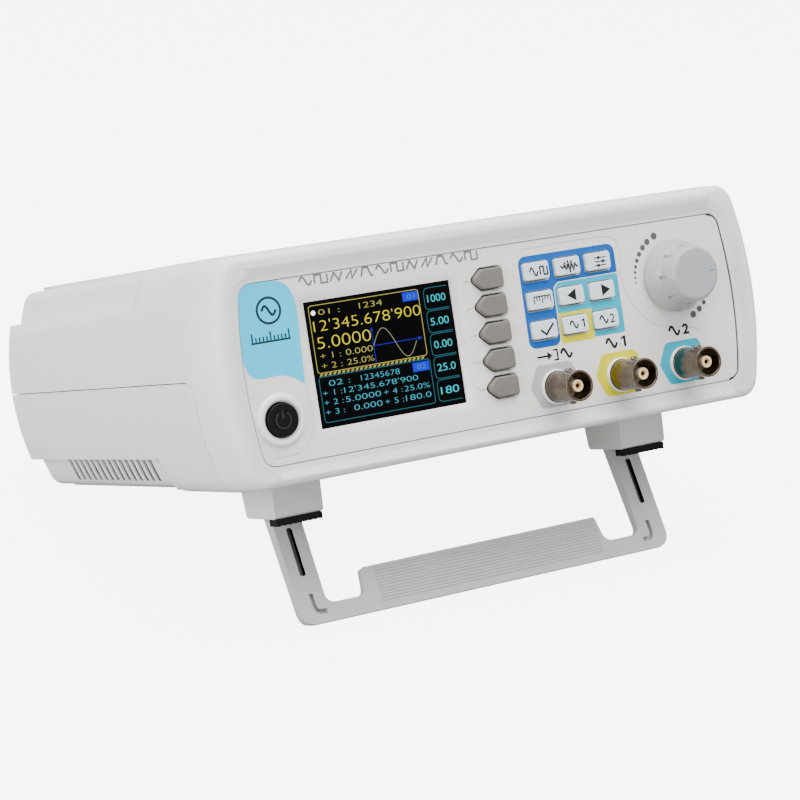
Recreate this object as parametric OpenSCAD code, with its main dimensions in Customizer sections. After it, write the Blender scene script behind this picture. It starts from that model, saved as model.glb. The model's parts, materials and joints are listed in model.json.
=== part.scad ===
// Bench function generator in a two-part plastic case, standing on its folding tilt bail.
// The pieces are drawn on the level case: x runs to the right of the panel, y from the panel's face to
// the rear, z up from the case's parting line. place() then tips the case back onto bail and rear feet.

/* [Case] */
// Width over the bulge of the sides
case_w = 200; // [194:1:244]
// Depth from the panel's face to the rear edge
case_d = 164; // [136:1:200]
// Height over the raised bands of the top and bottom
case_h = 69.4; // [69:0.2:84]
// Wall of the covers
wall = 2.5; // [2:0.1:3.2]
// Radius of the bulging sides
side_r = 85; // [70:1:140]
// Where the bottom cover starts, behind the panel's face
seam_y = 10; // [9:0.5:12]
// Where the front frame's taper reaches the full section of the case
taper_y = 12; // [11:0.5:16]
// Height of the raised belt round the sides
belt_h = 46.6; // [36:0.2:50]
// How far the sunk corners lie behind the belt
corner_dx = 3.7; // [2:0.1:4]
// How far the sunk corners lie below the raised bands
corner_dz = 1.15; // [0.8:0.05:1.5]
// Radius of the sunk corners
corner_r = 5; // [4:0.5:7]
// Width of the raised bands of the top and bottom
band_w = 165; // [140:1:166]
// Where the corners start to sink in
corner_y = 49; // [30:1:56]
// Length over which they sink in
corner_run = 13; // [6:1:20]
// Play between the covers and round the rear panel
case_gap = 0.3; // [0.1:0.05:0.5]

/* [Vents] */
// Slots in each lower corner
vent_count = 15; // [5:1:20]
// Distance from slot to slot
vent_pitch = 4.96; // [4:0.01:6]
// Width of a slot
vent_slot_w = 3; // [2:0.1:3.4]
// Middle of the row of slots
vent_y = 103.5; // [100:0.5:112]

/* [Panel] */
// Half width of the panel's opening at mid height
panel_hw = 87.5; // [86:0.5:90]
// Top edge of the panel's opening
panel_top = 25.9; // [24:0.1:27]
// Bottom edge of the panel's opening
panel_low = -28.2; // [-29:0.1:-27.5]
// Thickness of the panel
panel_t = 2.5; // [2:0.1:3.2]
// How far the frame's rim stands in front of the panel
rim_h = 2; // [1:0.1:3]
// Play round the panel in the frame
panel_gap = 0.35; // [0.2:0.05:0.6]
// Thickness of the front board
board_t = 1.6; // [1.2:0.1:2]
// Room between the panel and the front board
board_gap = 6.5; // [6:0.1:8]

/* [Display] */
// Middle of the picture, across
display_x = -39.4; // [-42:0.1:-38]
// Middle of the picture, up
display_z = -1.05; // [-2:0.05:0]
// Width of the picture
display_w = 48.96; // [44:0.01:50]
// Height of the picture
display_h = 36.72; // [33:0.01:38]
// Width of the sloped frame round the picture, left and right
frame_w = 4; // [2:0.1:4.4]
// Width of the sloped frame above and below
frame_h = 3.2; // [2:0.1:4]

/* [Keys] */
// Number of soft keys beside the display
soft_count = 5; // [5:1:5]
// Left tip of the soft keys
soft_x = -8.4; // [-8.6:0.1:-8]
// Length of a soft key
soft_l = 11; // [9:0.1:12]
// Height of a soft key
soft_h = 6.2; // [5:0.1:6.6]
// Distance from soft key to soft key
soft_pitch = 8.3; // [8:0.05:8.8]
// Middle of the column of soft keys
soft_z = -0.3; // [-0.8:0.1:0.3]
// Middle key of the keypad, across
pad_x = 26.3; // [25:0.1:27]
// Middle key of the keypad, up
pad_z = 7.2; // [6.5:0.1:8]
// Distance from key to key, across
pad_dx = 11.35; // [11:0.05:11.6]
// Distance from key to key, up
pad_dz = 9.1; // [8.5:0.05:9.2]
// Width of a keypad key
key_w = 8.8; // [7:0.1:8.9]
// Height of a keypad key
key_h = 5.4; // [4.5:0.1:6]
// How far the keypad keys stand proud
key_proud = 1.3; // [0.8:0.1:1.8]
// How far the soft keys stand proud
soft_proud = 1.8; // [1:0.1:2]
// Travel of the keys
key_travel = 0.8; // [0.4:0.1:1]
// Play round a key in the panel
key_gap = 0.3; // [0.2:0.05:0.4]
// Radius of a key's plunger
plunger_r = 1.7; // [1.2:0.1:2]

/* [Power button and knob] */
// Middle of the power button, across
power_x = -78; // [-79:0.1:-77.5]
// Middle of the power button, up
power_z = -14.8; // [-16:0.1:-13]
// Radius of the power button
power_r = 4.95; // [4:0.05:5.2]
// Radius of the collar round it
collar_r = 7.7; // [7:0.1:8]
// Travel of the power button
power_travel = 1.5; // [0.8:0.1:1.6]
// Middle of the knob, across
knob_x = 65.3; // [64:0.1:66.5]
// Middle of the knob, up
knob_z = 7.9; // [7:0.1:9]
// Radius of the knob's skirt
knob_r = 11.4; // [10:0.1:12.5]
// Radius of the knob's face
knob_face_r = 7.9; // [7:0.1:8.5]
// How far the knob stands out of the panel
knob_h = 13.1; // [11:0.1:15]
// Radius of the encoder's shaft
shaft_r = 3; // [2.5:0.1:3.2]
// Running play of the shaft in its bush
shaft_gap = 0.05; // [0.02:0.01:0.09]

/* [Signal jacks] */
// Middle jack, across
jack_x = 40.7; // [40:0.1:42]
// Distance from jack to jack
jack_pitch = 24.1; // [22:0.1:24.5]
// Middle of the jacks, up
jack_z = -20; // [-20.5:0.1:-19]
// How far the jacks stand out of the panel
jack_l = 13.5; // [12:0.1:15]
// Radius of the bayonet barrel
barrel_r = 4.82; // [4.8:0.01:4.85]
// Bore radius of the bayonet barrel
barrel_bore_r = 4.08; // [4.05:0.01:4.1]

/* [Feet and bail] */
// Inner side of the front feet
foot_x0 = 55; // [52:0.5:56]
// Outer side of the front feet
foot_x1 = 72; // [70:0.5:74]
// Front of the front feet
foot_y0 = 27; // [24:0.5:29]
// Length of the front feet
foot_l = 23; // [22:0.5:26]
// Height of the front feet below the case
foot_h = 11.5; // [11.3:0.1:12.5]
// Thickness of the rubber pads
pad_t = 2.2; // [1.5:0.1:3]
// Bail pivot, back from the panel's face
pivot_y = 44.2; // [43.6:0.1:45]
// Bail pivot, below the case
pivot_drop = 6.3; // [6:0.1:6.5]
// Outer half width of the bail
bail_hw = 68; // [67:0.1:68.2]
// Width of a leg of the bail
leg_w = 10; // [8:0.1:10.4]
// Length of the bail from its pivot
bail_l = 42.3; // [38:0.1:48]
// Lean of the opened bail towards the front
bail_lean = 20; // [15:1:25]
// Thickness of the bail at the pivot
bail_t = 5; // [4:0.1:5.4]
// Thickness of the bail at its end
bail_tip_t = 3; // [2.4:0.1:4]
// Radius of the bail's pivot studs
stud_r = 2.5; // [2:0.1:2.8]
// Running play of the studs
stud_gap = 0.05; // [0.02:0.01:0.09]
// Middle of a rear foot, across
rear_foot_x = 46; // [40:0.5:60]
// Middle of the rear feet, in from the rear edge
rear_foot_in = 18; // [14:0.5:30]
// Radius of a rear foot
rear_foot_r = 6; // [5:0.1:8]
// Height of a rear foot
rear_foot_h = 7; // [5:0.1:8]

/* [Boards] */
// Half width of the main board
main_hw = 68; // [60:0.5:70]
// Front edge of the main board
main_y0 = 24; // [22:0.5:30]
// Gap from the main board's rear edge to the rear edge of the case
main_rear_gap = 8; // [7:0.5:12]
// Height of the board's pillars above the cover's floor
pillar_h = 9; // [6:0.5:12]

/* [Hidden] */
$fn = 48;
case_hw = case_w / 2;
case_hh = case_h / 2;
belt_z = belt_h / 2;
arc_n = 6;                                   // chords in a quarter of an outline's arc
far = 400;                                   // longer than anything in the part

sunk_hw = case_hw - corner_dx;
sunk_hh = case_hh - corner_dz;
sunk_r = side_r - corner_dx;

// front frame, from the panel's opening outwards
frame_side_r = 120;
front_corner_r = 6.5;
case_corner_r = 8;
ledge_w = 1.8;                               // flat ledge round the panel
slope_w = 2;                                 // slope from the ledge up to the rim
rim_w = 3.9;                                 // rim, as seen from the front
frame_hw = panel_hw + ledge_w + slope_w + rim_w;
frame_hh = case_hh - 0.5;
half_taper_hw = (frame_hw + case_hw) / 2;
half_taper_hh = (frame_hh + case_hh) / 2;
slab_t = 0.1;                                // thin slices that the tapers run between
sink_steps = [[0, 0], [0.3, 0.18], [0.7, 0.82], [1, 1]];    // how the long corners sink in
flange_w = 2;                                // panel's flange behind the frame's ledge
flange_y = 1.2;                              // front of that flange
front_wall = wall + 1.1;                     // wall of the bottom cover in the taper
tongue_t = 1.8;
tongue_hh = 26;                              // lowest the side tongues reach
seam_r = 4;                                  // turn of the seam from the sides down to the front
seam_slant = 2.2;                            // how much further back the seam is at the bottom

// from the panel back to the front board
board_y = panel_t + board_gap;
flange_t = 1;                                // flange that holds a key in
key_back = 0.2;                              // play between that flange and the panel
plunger_y = panel_t + key_back + flange_t;
switch_y = board_y - 3.4;                    // front of the key switches
switch_w = 6;
power_stem_r = plunger_r + 0.6;
power_switch_w = 8;
plunger_in = 0.9;                            // how far a plunger sits in its switch
leader_w = 0.5;                              // groove from the display to a soft key
leader_in = 0.35;
plunger_gap = 0.1;
collar_in = 0.8;                             // how deep the power collar sits in the panel

// floor inside the bottom cover, and the main board on its pillars
floor_z = -case_hh + wall;
main_z = floor_z + pillar_h;
main_top = main_z + board_t;
main_y1 = case_d - main_rear_gap;
rear_y = case_d - 5.4;                       // front face of the rear panel
rear_t = 2.3;
rear_groove = 1.2;

// screws and the pillars they sit in
screw_r = 1.5;
screw_hole_r = 1.7;
pilot_r = 1.52;
head_r = 2.8;
head_h = 2;
head_gap = 0.3;                              // play round a sunk head
tight_gap = 0.02;                            // play of a piece that is pressed or screwed in
post_r = 4;
pillar_r = 3;
post_x = 75.5;
post_ys = [taper_y + 9, case_d - 16];
head_z = floor_z + 5;                        // underside seat of the case screws' heads
board_screw_r = 1.2;
board_screws_at = [[-main_hw + 6, main_y0 + 14], [main_hw - 6, main_y0 + 14],
    [-main_hw + 6, main_y1 - 14], [main_hw - 6, main_y1 - 14]];
panel_screws_at = [[-81, 19], [80, 20], [-60, -25.2], [5.5, -25.2]];
stand_r = 2.8;                               // stand-offs behind the front panel

// bail: t runs down the legs from the pivot, n forward out of the bail's front
pivot_z = -case_hh - pivot_drop;
bar_top = 27.8;                              // top edge of the broad middle of the bar
bar_thin = 36.5;                             // top edge of the bar beside the legs
bar_hw = 43.2;                               // half width of the broad middle
head_out_r = 4.9;                            // round head of a leg
slot_gap = 0.3;                              // play beside a leg in its foot
stop_gap = 0.3;                              // play between the opened bail and its stop
tip_land = 1.2;                              // resting land at the end of the bail
foot_land = 1.5;                             // resting land at the back of a rear foot
front_n = bail_t / 2;
bail_dir = [-sin(bail_lean), -cos(bail_lean)];
bail_nor = [-cos(bail_lean), sin(bail_lean)];
function bail_yz(t, n) = [pivot_y, pivot_z] + t * bail_dir + n * bail_nor;

// the ground touches the bail at bail_rest and the rear feet at foot_rest
bail_rest = bail_yz(bail_l - tip_land, front_n - bail_tip_t);
rear_foot_y = case_d - rear_foot_in;
foot_rest = [rear_foot_y + rear_foot_r - foot_land, -case_hh - rear_foot_h];
rest_run = foot_rest - bail_rest;
tilt = atan2(rest_run[1], rest_run[0]);
function tipped(p) = [p[0] * cos(tilt) + p[1] * sin(tilt), p[1] * cos(tilt) - p[0] * sin(tilt)];
ground_z = tipped(bail_rest)[1];
front_y = tipped([-jack_l, jack_z - barrel_r])[0];
back_y = tipped([case_d, case_hh])[0];
middle_y = (front_y + back_y) / 2;

// encoder, jacks
bush_r = shaft_r + 0.6;
bush_y = -3.2;
nut_r = 6;
nut_h = 2.4;
knob_under = 1;                              // play under the knob's skirt
encoder_w = 12;
jack_xs = [jack_x - jack_pitch, jack_x, jack_x + jack_pitch];
jack_collar_r = 5.4;
jack_collar_in = 0.5;                        // how deep the collars sit in the panel
jack_base = board_y - 0.6;
jack_floor = -0.5;                           // bottom of the jacks' bores
jack_house_w = 14;
pin_r = 1;
nose_r = 1.85;                               // insulator round a contact
lug_r = 1;                                   // bayonet lugs, above and below the barrel
lug_h = 0.7;
lug_in = 5.2;                                // how far the lugs lie behind the jack's mouth

// front feet
foot_z = -case_hh - foot_h;
leg_x0 = bail_hw - leg_w;
leg_slot_w = 1.6;
stud_l = 2.4;
pad_l = 6.4;
pad_rib = 1.75;                              // distance from rib to rib under the pads
foot_screw_x = (foot_x0 + foot_x1) / 2;
foot_screw_y = foot_y0 + 4.5;
foot_head_z = -case_hh - 2.4;                // seat of the screws in the rear feet

// rear connectors and the holes for them
lip_y = case_d - 2;                          // how far back the connectors reach
socket_gap = 0.3;
usb_w = 12;
usb_h = 10.8;
usb_x = 22;
dc_w = 9;
dc_h = 11;
dc_x = 52;
port_w = 31;
port_h = 12.5;
port_x = -34;
port_z = main_top + port_h / 2;

// ribbon cable and its two headers
header_x = 12;
header_w = 26;
header_h = 6;
header_z = -10;
header_y = main_y0 + 12;
front_header_y = board_y + board_t;
ribbon_t = 0.9;
// what stands on the main board, as [left, right, front, back, height]
can_at = [-54, -14, main_y0 + 12, main_y0 + 42, 8];
can_t = 0.4;
sink_at = [-14, 22, main_y0 + 46, main_y0 + 66, 15];
sink_base = 2.5;
fin_t = 1.2;
fin_pitch = 4.35;
relays_at = [[46, 62, main_y0 + 22, main_y0 + 33, 9], [46, 62, main_y0 + 38, main_y0 + 49, 9]];
chips_at = [[-54, -34, main_y0 + 56, main_y0 + 76, 1.6], [-8, 4, main_y0 + 80, main_y0 + 92, 1.6],
    [-52, -42, main_y0 + 84, main_y0 + 90, 1.6]];
capacitor_x = 34;
capacitor_pitch = 11;

module place() {
    translate([0, -middle_y, -ground_z]) rotate([-tilt, 0, 0]) children();
}

// ---- helpers ----
function unit(v) = v / norm(v);
function arc(c, r, a0, a1, n) = [for (i = [0 : n]) let (a = a0 + (a1 - a0) * i / n) c + r * [cos(a), sin(a)]];
function turn(a) = a > 180 ? a - 360 : a < -180 ? a + 360 : a;
// the arc that rounds the corner p of a polygon, coming from a and going on to b
function corner(a, p, b, r, n) = let (u = unit(a - p), v = unit(b - p), half = acos(u * v) / 2,
    c = p + unit(u + v) * r / sin(half), s = p + u * r / tan(half) - c, e = p + v * r / tan(half) - c,
    a0 = atan2(s[1], s[0]), sweep = turn(atan2(e[1], e[0]) - a0)) arc(c, r, a0, a0 + sweep, n);
function rounded(pts, radii, n = 5) = [for (i = [0 : len(pts) - 1], q = corner(
    pts[(i + len(pts) - 1) % len(pts)], pts[i], pts[(i + 1) % len(pts)], radii[i], n)) q];
function mirrored(right) = concat(right, [for (i = [len(right) - 1 : -1 : 0]) [-right[i][0], right[i][1]]]);

function bulge_x(hw, r, z) = hw - r + sqrt(r * r - z * z);
// outline with bulging sides, straight top and bottom and round corners
function bulge(hw, lo, hi, r, rc) = let (mid = (lo + hi) / 2, h = (hi - lo) / 2 - rc, c = hw - r,
    kx = c + sqrt(pow(r - rc, 2) - h * h), phi = atan2(h, kx - c)) mirrored(concat(
    arc([kx, mid - h], rc, -90, -phi, arc_n), arc([c, mid], r, -phi * 0.95, phi * 0.95, 2 * arc_n),
    arc([kx, mid + h], rc, phi, 90, arc_n)));
function sunk_pts(o) = bulge(sunk_hw - o, o - sunk_hh, sunk_hh - o, sunk_r - o, max(corner_r - o, 0.5));
// a quarter of the section with its belt, sunk corner and band, drawn in by o
function quarter(o) = let (zb = belt_z - o, xb = band_w / 2 - o) concat(
    [for (i = [0 : arc_n]) let (z = zb * i / arc_n) [bulge_x(case_hw - o, side_r - o, z), z]],
    [[bulge_x(sunk_hw - o, sunk_r - o, zb), zb]],
    [for (q = sunk_pts(o)) if (q[1] > zb + 0.01 && q[0] > xb + 0.01) q],
    [[xb, sunk_hh - o], [xb, case_hh - o]]);
function full_pts() = bulge(case_hw, -case_hh, case_hh, side_r, case_corner_r);
function section_pts(o) = let (q = quarter(o)) mirrored(
    concat([for (i = [len(q) - 1 : -1 : 1]) [q[i][0], -q[i][1]]], q));
function frame_pts(dx, dz) = bulge(frame_hw - dx, dz - frame_hh, frame_hh - dz, frame_side_r, front_corner_r);
function panel_pts(o, rc = 4.5) = bulge(panel_hw + o, panel_low - o, panel_top + o, 143, rc + o);
function pill(w, h, r) = rounded([[-w / 2, -h / 2], [w / 2, -h / 2], [w / 2, h / 2], [-w / 2, h / 2]],
    [r, r, r, r]);

module along_y(y0, y1) {
    translate([0, y1, 0]) rotate([90, 0, 0]) linear_extrude(y1 - y0) children();
}
module along_x(x0, x1) {
    translate([x0, 0, 0]) rotate([90, 0, 90]) linear_extrude(x1 - x0) children();
}
module disc(x, z, r, y0, y1) {
    translate([x, y1, z]) rotate([90, 0, 0]) cylinder(h = y1 - y0, r = r);
}
module ring(x, z, r, r_in, y0, y1) {
    difference() {
        disc(x, z, r, y0, y1);
        disc(x, z, r_in, y0 - 1, y1 + 1);
    }
}
module rod(y, z, r, x0, x1) {
    translate([x0, y, z]) rotate([0, 90, 0]) cylinder(h = x1 - x0, r = r);
}
module post(x, y, r, z0, z1) {
    translate([x, y, z0]) cylinder(h = z1 - z0, r = r);
}
module block(x0, x1, y0, y1, z0, z1) {
    translate([x0, y0, z0]) cube([x1 - x0, y1 - y0, z1 - z0]);
}
module both() {
    children();
    mirror([1, 0, 0]) children();
}

// ---- case ----
module slab(y) {
    along_y(y, y + slab_t) children();
}
// the front of the body: rim, and the taper out to the full section
module front_body() hull() {
    slab(-rim_h) polygon(frame_pts(2.7, 2.3));
    slab(-rim_h + 0.8) polygon(frame_pts(0.8, 0.6));
    slab(0.3) polygon(frame_pts(-0.3, 0));
    slab(taper_y / 3) polygon(bulge(half_taper_hw, -half_taper_hh, half_taper_hh, side_r, front_corner_r));
    slab(taper_y - slab_t) polygon(full_pts());
}
// where the long corners sink in, from the full section to the sunk one, k of the way at y
module sinking(y, k) {
    slab(y) polygon(bulge(case_hw - k * corner_dx, k * corner_dz - case_hh, case_hh - k * corner_dz,
        side_r - k * corner_dx, case_corner_r + k * (corner_r - case_corner_r)));
}
module case_body() {
    front_body();
    along_y(taper_y - slab_t, corner_y + slab_t) polygon(full_pts());
    for (i = [0 : len(sink_steps) - 2]) hull() {
        sinking(corner_y + sink_steps[i][0] * corner_run, sink_steps[i][1]);
        sinking(corner_y + sink_steps[i + 1][0] * corner_run, sink_steps[i + 1][1]);
    }
    along_y(corner_y, case_d) {
        polygon(sunk_pts(0));
        intersection() {
            polygon(full_pts());
            square([far, belt_h], center = true);
        }
        square([band_w, case_h], center = true);
    }
}
module panel_seat() {
    along_y(-far, 1) polygon(panel_pts(0));
    hull() {
        slab(-slab_t) polygon(panel_pts(ledge_w));
        slab(-rim_h - 2 * slab_t) polygon(panel_pts(ledge_w + slope_w));
    }
    along_y(1, taper_y) polygon(panel_pts(flange_w + panel_gap));
}
module case_shell() difference() {
    case_body();
    panel_seat();
    along_y(4, taper_y + 1) polygon(section_pts(front_wall));
    along_y(taper_y, case_d + 1) polygon(section_pts(wall));
    along_y(rear_y - case_gap / 2, rear_y + rear_t + case_gap / 2) polygon(section_pts(wall - rear_groove));
}
// what lies behind the seam and below the parting line, drawn in by o
module below_seam(o) along_x(-far / 2, far / 2) polygon(rounded([[seam_y + seam_slant + o, -far], [far, -far],
    [far, -o], [seam_y + o, -o], [seam_y + seam_slant + o, -case_hh]], [1, 1, 1, seam_r - o, 1]));
// ledges behind the frame that reach into the bottom cover at its sides
module side_tongues() along_y(4, seam_y + 4) intersection() {
    difference() {
        polygon(section_pts(front_wall + case_gap));
        polygon(section_pts(front_wall + case_gap + tongue_t));
    }
    translate([-far / 2, -tongue_hh]) square([far, tongue_hh]);
}
module display_opening() {
    hw = display_w / 2 + 0.5;
    hh = display_h / 2 + 0.5;
    lip_t = panel_t - 0.7;
    translate([display_x, 0, display_z]) intersection() {
        translate([0, 0, -hh - frame_h]) linear_extrude(2 * (hh + frame_h))
            polygon([[-hw - frame_w, -0.01], [hw + frame_w - 1, -0.01], [hw, lip_t], [hw, panel_t + 1],
                [-hw, panel_t + 1], [-hw, lip_t]]);
        along_x(-hw - frame_w, hw + frame_w) polygon([[-0.01, -hh - frame_h], [-0.01, hh + frame_h],
            [lip_t, hh], [panel_t + 1, hh], [panel_t + 1, -hh], [lip_t, -hh]]);
    }
}
// five leaders, each from the edge of the sloped frame to the tip of a soft key
module leaders() {
    x0 = display_x + display_w / 2 + 1.2;
    x1 = soft_x + 0.1;
    w = leader_w / 2;
    for (i = [0 : soft_count - 1]) {
        z = soft_z + soft_pitch * (i - 2);
        z0 = display_z + display_h / 5 * (i - 2);
        along_y(-1, leader_in) polygon([[x0, z0 - w], [x0 + 2.4, z0 - w], [x0 + 3.6, z - w], [x1, z - w],
            [x1, z + w], [x0 + 3.4, z + w], [x0 + 2.2, z0 + w], [x0, z0 + w]]);
    }
}
module front_panel() color("#dad7d2") place() difference() {
    union() {
        along_y(0, flange_y) polygon(panel_pts(-panel_gap));
        along_y(flange_y, panel_t) polygon(panel_pts(flange_w));
        for (p = panel_screws_at) disc(p[0], p[1], stand_r, panel_t - 0.5, board_y);
    }
    display_opening();
    leaders();
    for (i = [0 : soft_count - 1]) soft_at(i) along_y(-1, panel_t + 1) polygon(soft_pts(key_gap));
    for (i = [0 : 8]) pad_at(i) along_y(-1, panel_t + 1) polygon(pad_pts(key_gap));
    disc(power_x, power_z, power_r + key_gap, -1, panel_t + 1);
    disc(power_x, power_z, collar_r + tight_gap, -1, collar_in);
    disc(knob_x, knob_z, bush_r + 0.2, -1, panel_t + 1);
    for (x = jack_xs) {
        disc(x, jack_z, barrel_r + 0.15, -1, panel_t + 1);
        disc(x, jack_z, jack_collar_r + tight_gap, -1, jack_collar_in);
    }
    for (p = panel_screws_at) disc(p[0], p[1], board_screw_r + tight_gap, panel_t - 0.8, board_y + 1);
}
module top_cover() color("#d8d9db") place() difference() {
    union() {
        difference() {
            case_shell();
            below_seam(0);
        }
        side_tongues();
        both() for (y = post_ys) post(post_x, y, post_r, 0, -floor_z + 0.5);
    }
    both() for (y = post_ys) post(post_x, y, pilot_r, -1, 14);
}
module bottom_cover() color("#d3d4d6") place() difference() {
    union() {
        intersection() {
            case_shell();
            below_seam(case_gap);
        }
        both() for (y = post_ys) post(post_x, y, post_r, floor_z - 0.5, -case_gap);
        for (p = board_screws_at) post(p[0], p[1], pillar_r, floor_z - 0.5, main_z);
    }
    both() {
        for (y = post_ys) {
            post(post_x, y, screw_hole_r, -far, 1);
            post(post_x, y, head_r + head_gap, -far, head_z);
        }
        for (i = [0 : vent_count - 1]) vent(vent_y + vent_pitch * (i - (vent_count - 1) / 2));
        post(foot_screw_x, foot_screw_y, screw_hole_r, -far, floor_z + 1);
        post(rear_foot_x, rear_foot_y, screw_hole_r, -far, floor_z + 1);
    }
    for (p = board_screws_at) post(p[0], p[1], board_screw_r + tight_gap, floor_z + 1, main_z + 1);
}
module vent(y) {
    translate([0, y - vent_slot_w / 2, 0])
        block(post_x + post_r + 0.5, case_hw, 0, vent_slot_w, -case_hh + 3.4, -belt_z + 0.1);
}
module rear_panel() color("#3a3c40") place() difference() {
    along_y(rear_y, rear_y + rear_t) polygon(section_pts(wall - rear_groove + 0.2));
    along_y(rear_y - 1, rear_y + rear_t + 1) {
        translate([usb_x, main_top + usb_h / 2])
            square([usb_w + 2 * socket_gap, usb_h + 2 * socket_gap], center = true);
        translate([dc_x, main_top + dc_h / 2])
            square([dc_w + 2 * socket_gap, dc_h + 2 * socket_gap], center = true);
        translate([port_x, port_z]) polygon(port_pts(socket_gap));
    }
}

// ---- display and boards ----
// a plate behind the picture, larger than it by l, r and v to the left, right and up and down
module behind_display(l, r, v, y0, y1) translate([display_x, 0, display_z])
    block(-display_w / 2 - l, display_w / 2 + r, y0, y1, -display_h / 2 - v, display_h / 2 + v);
module display_glass() color("#101216") place() behind_display(2.5, 2.5, 2, panel_t + 0.1, panel_t + 0.9);
module display_module() color("silver") place() behind_display(7, 3.2, 2.6, panel_t + 0.9, board_y - 0.1);
module front_board() color("darkgreen") place() difference() {
    along_y(board_y, board_y + board_t)
        polygon(bulge(panel_hw - 2, panel_low + 0.6, panel_top - 1.5, 143, 3));
    for (p = panel_screws_at) disc(p[0], p[1], board_screw_r + 0.3, 0, board_y + 5);
}
module main_board() color("darkgreen") place() difference() {
    block(-main_hw, main_hw, main_y0, main_y1, main_z, main_top);
    for (p = board_screws_at) post(p[0], p[1], board_screw_r + 0.3, main_z - 1, main_top + 1);
}

// ---- keys ----
function soft_pts(o) = rounded([[-o, 0], [0.33 * soft_l, -soft_h / 2 - o], [soft_l + o, -soft_h / 2 - o],
    [soft_l + o, soft_h / 2 + o], [0.33 * soft_l, soft_h / 2 + o]], [1.6, 1.6, 1.2, 1.2, 1.6], 4);
function pad_pts(o) = pill(key_w + 2 * o, key_h + 2 * o, 0.8 + o / 2);
module soft_at(i) translate([soft_x, 0, soft_z + soft_pitch * (2 - i)]) children();
module pad_at(i) translate([pad_x + pad_dx * (i % 3 - 1), 0, pad_z + pad_dz * (1 - floor(i / 3))]) children();
module key_stem(x) {
    disc(x, 0, plunger_r, plunger_y - 0.1, switch_y + plunger_in);
}
module soft_key(i) color("#8a8781") place() soft_at(i) {
    along_y(-soft_proud, plunger_y - flange_t) polygon(soft_pts(0));
    along_y(plunger_y - flange_t, plunger_y) polygon(soft_pts(0.9));
    key_stem(0.55 * soft_l);
}
module pad_key(i) color("#c9d3da") place() pad_at(i) {
    along_y(-key_proud, plunger_y - flange_t) polygon(pad_pts(0));
    along_y(plunger_y - flange_t, plunger_y) polygon(pad_pts(0.9));
    key_stem(0);
}
module key_switch(x, w) difference() {
    block(x - w / 2, x + w / 2, switch_y, board_y, -w / 2, w / 2);
    disc(x, 0, plunger_r + plunger_gap, 0, switch_y + plunger_in + key_travel + 0.5);
}
module soft_switches() color("#26272a") place() for (i = [0 : soft_count - 1]) soft_at(i)
    key_switch(0.55 * soft_l, switch_w);
module pad_switches() color("#26272a") place() for (i = [0 : 8]) pad_at(i) key_switch(0, switch_w);
module power_button() color("#18181a") place() difference() {
    union() {
        disc(power_x, power_z, power_r, -2, plunger_y + 0.1);
        disc(power_x, power_z, power_r + 1, plunger_y - flange_t, plunger_y);
        disc(power_x, power_z, power_stem_r, plunger_y - 0.1, switch_y + plunger_in);
    }
    ring(power_x, power_z, 2.7, 2.1, -3, -1.8);
}
module power_collar() color("#e6e4df") place() translate([power_x, 0, power_z]) rotate([90, 0, 0])
    rotate_extrude() polygon(concat([[power_r + key_gap, -collar_in], [collar_r, -collar_in]],
        arc([collar_r - 1.2, 0.2], 1.2, 0, 90, 5), [[power_r + key_gap + 0.6, 1.2], [power_r + key_gap, 0.5]]));
module power_switch() color("#26272a") place() difference() {
    translate([power_x, 0, power_z]) block(-power_switch_w / 2, power_switch_w / 2, switch_y, board_y,
        -power_switch_w / 2, power_switch_w / 2);
    disc(power_x, power_z, power_stem_r + plunger_gap, 0, switch_y + plunger_in + power_travel + 0.2);
}

// ---- knob and its encoder ----
module knob_profile(o) {
    rotate_extrude() polygon(concat([[0, knob_under], [knob_r - o, knob_under],
        [knob_r - o, knob_under + 0.8], [knob_r - 1.5 - o, knob_h * 0.42],
        [knob_face_r + 1.2 - o, knob_h * 0.5], [knob_face_r + 0.7 - o, knob_h - 1.4]],
        arc([knob_face_r - 0.7 - o, knob_h - 1.4], 1.4, 0, 90, 5), [[0, knob_h]]));
}
module on_knob() translate([knob_x, 0, knob_z]) rotate([90, 0, 0]) children();
module adjust_knob() color("#c4c4c6") place() on_knob() difference() {
    knob_profile(0);
    translate([0, 0, -1]) cylinder(h = 5.2, r = nut_r + 1.6);
    translate([0, 0, -1]) cylinder(h = knob_h - 1.2, r = shaft_r + tight_gap);
    for (a = [0 : 45 : 359]) rotate(a) translate([knob_face_r + 1.15, 0, knob_h * 0.46])
        cylinder(h = 3.4, r = 0.65);
}
module encoder_shaft() color("silver") place() disc(knob_x, knob_z, shaft_r, -knob_h + 2.6, board_y - 2);
module encoder_body() color("#46484c") place() difference() {
    union() {
        translate([knob_x, 0, knob_z])
            block(-encoder_w / 2, encoder_w / 2, panel_t, board_y, -encoder_w / 2, encoder_w / 2);
        disc(knob_x, knob_z, bush_r, bush_y, panel_t + 1);
    }
    disc(knob_x, knob_z, shaft_r + shaft_gap, bush_y - 1, board_y - 1.5);
}
module encoder_nut() color("silver") place() difference() {
    on_knob() cylinder(h = nut_h, r = nut_r, $fn = 6);
    disc(knob_x, knob_z, bush_r + tight_gap, -nut_h - 1, 1);
}

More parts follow.
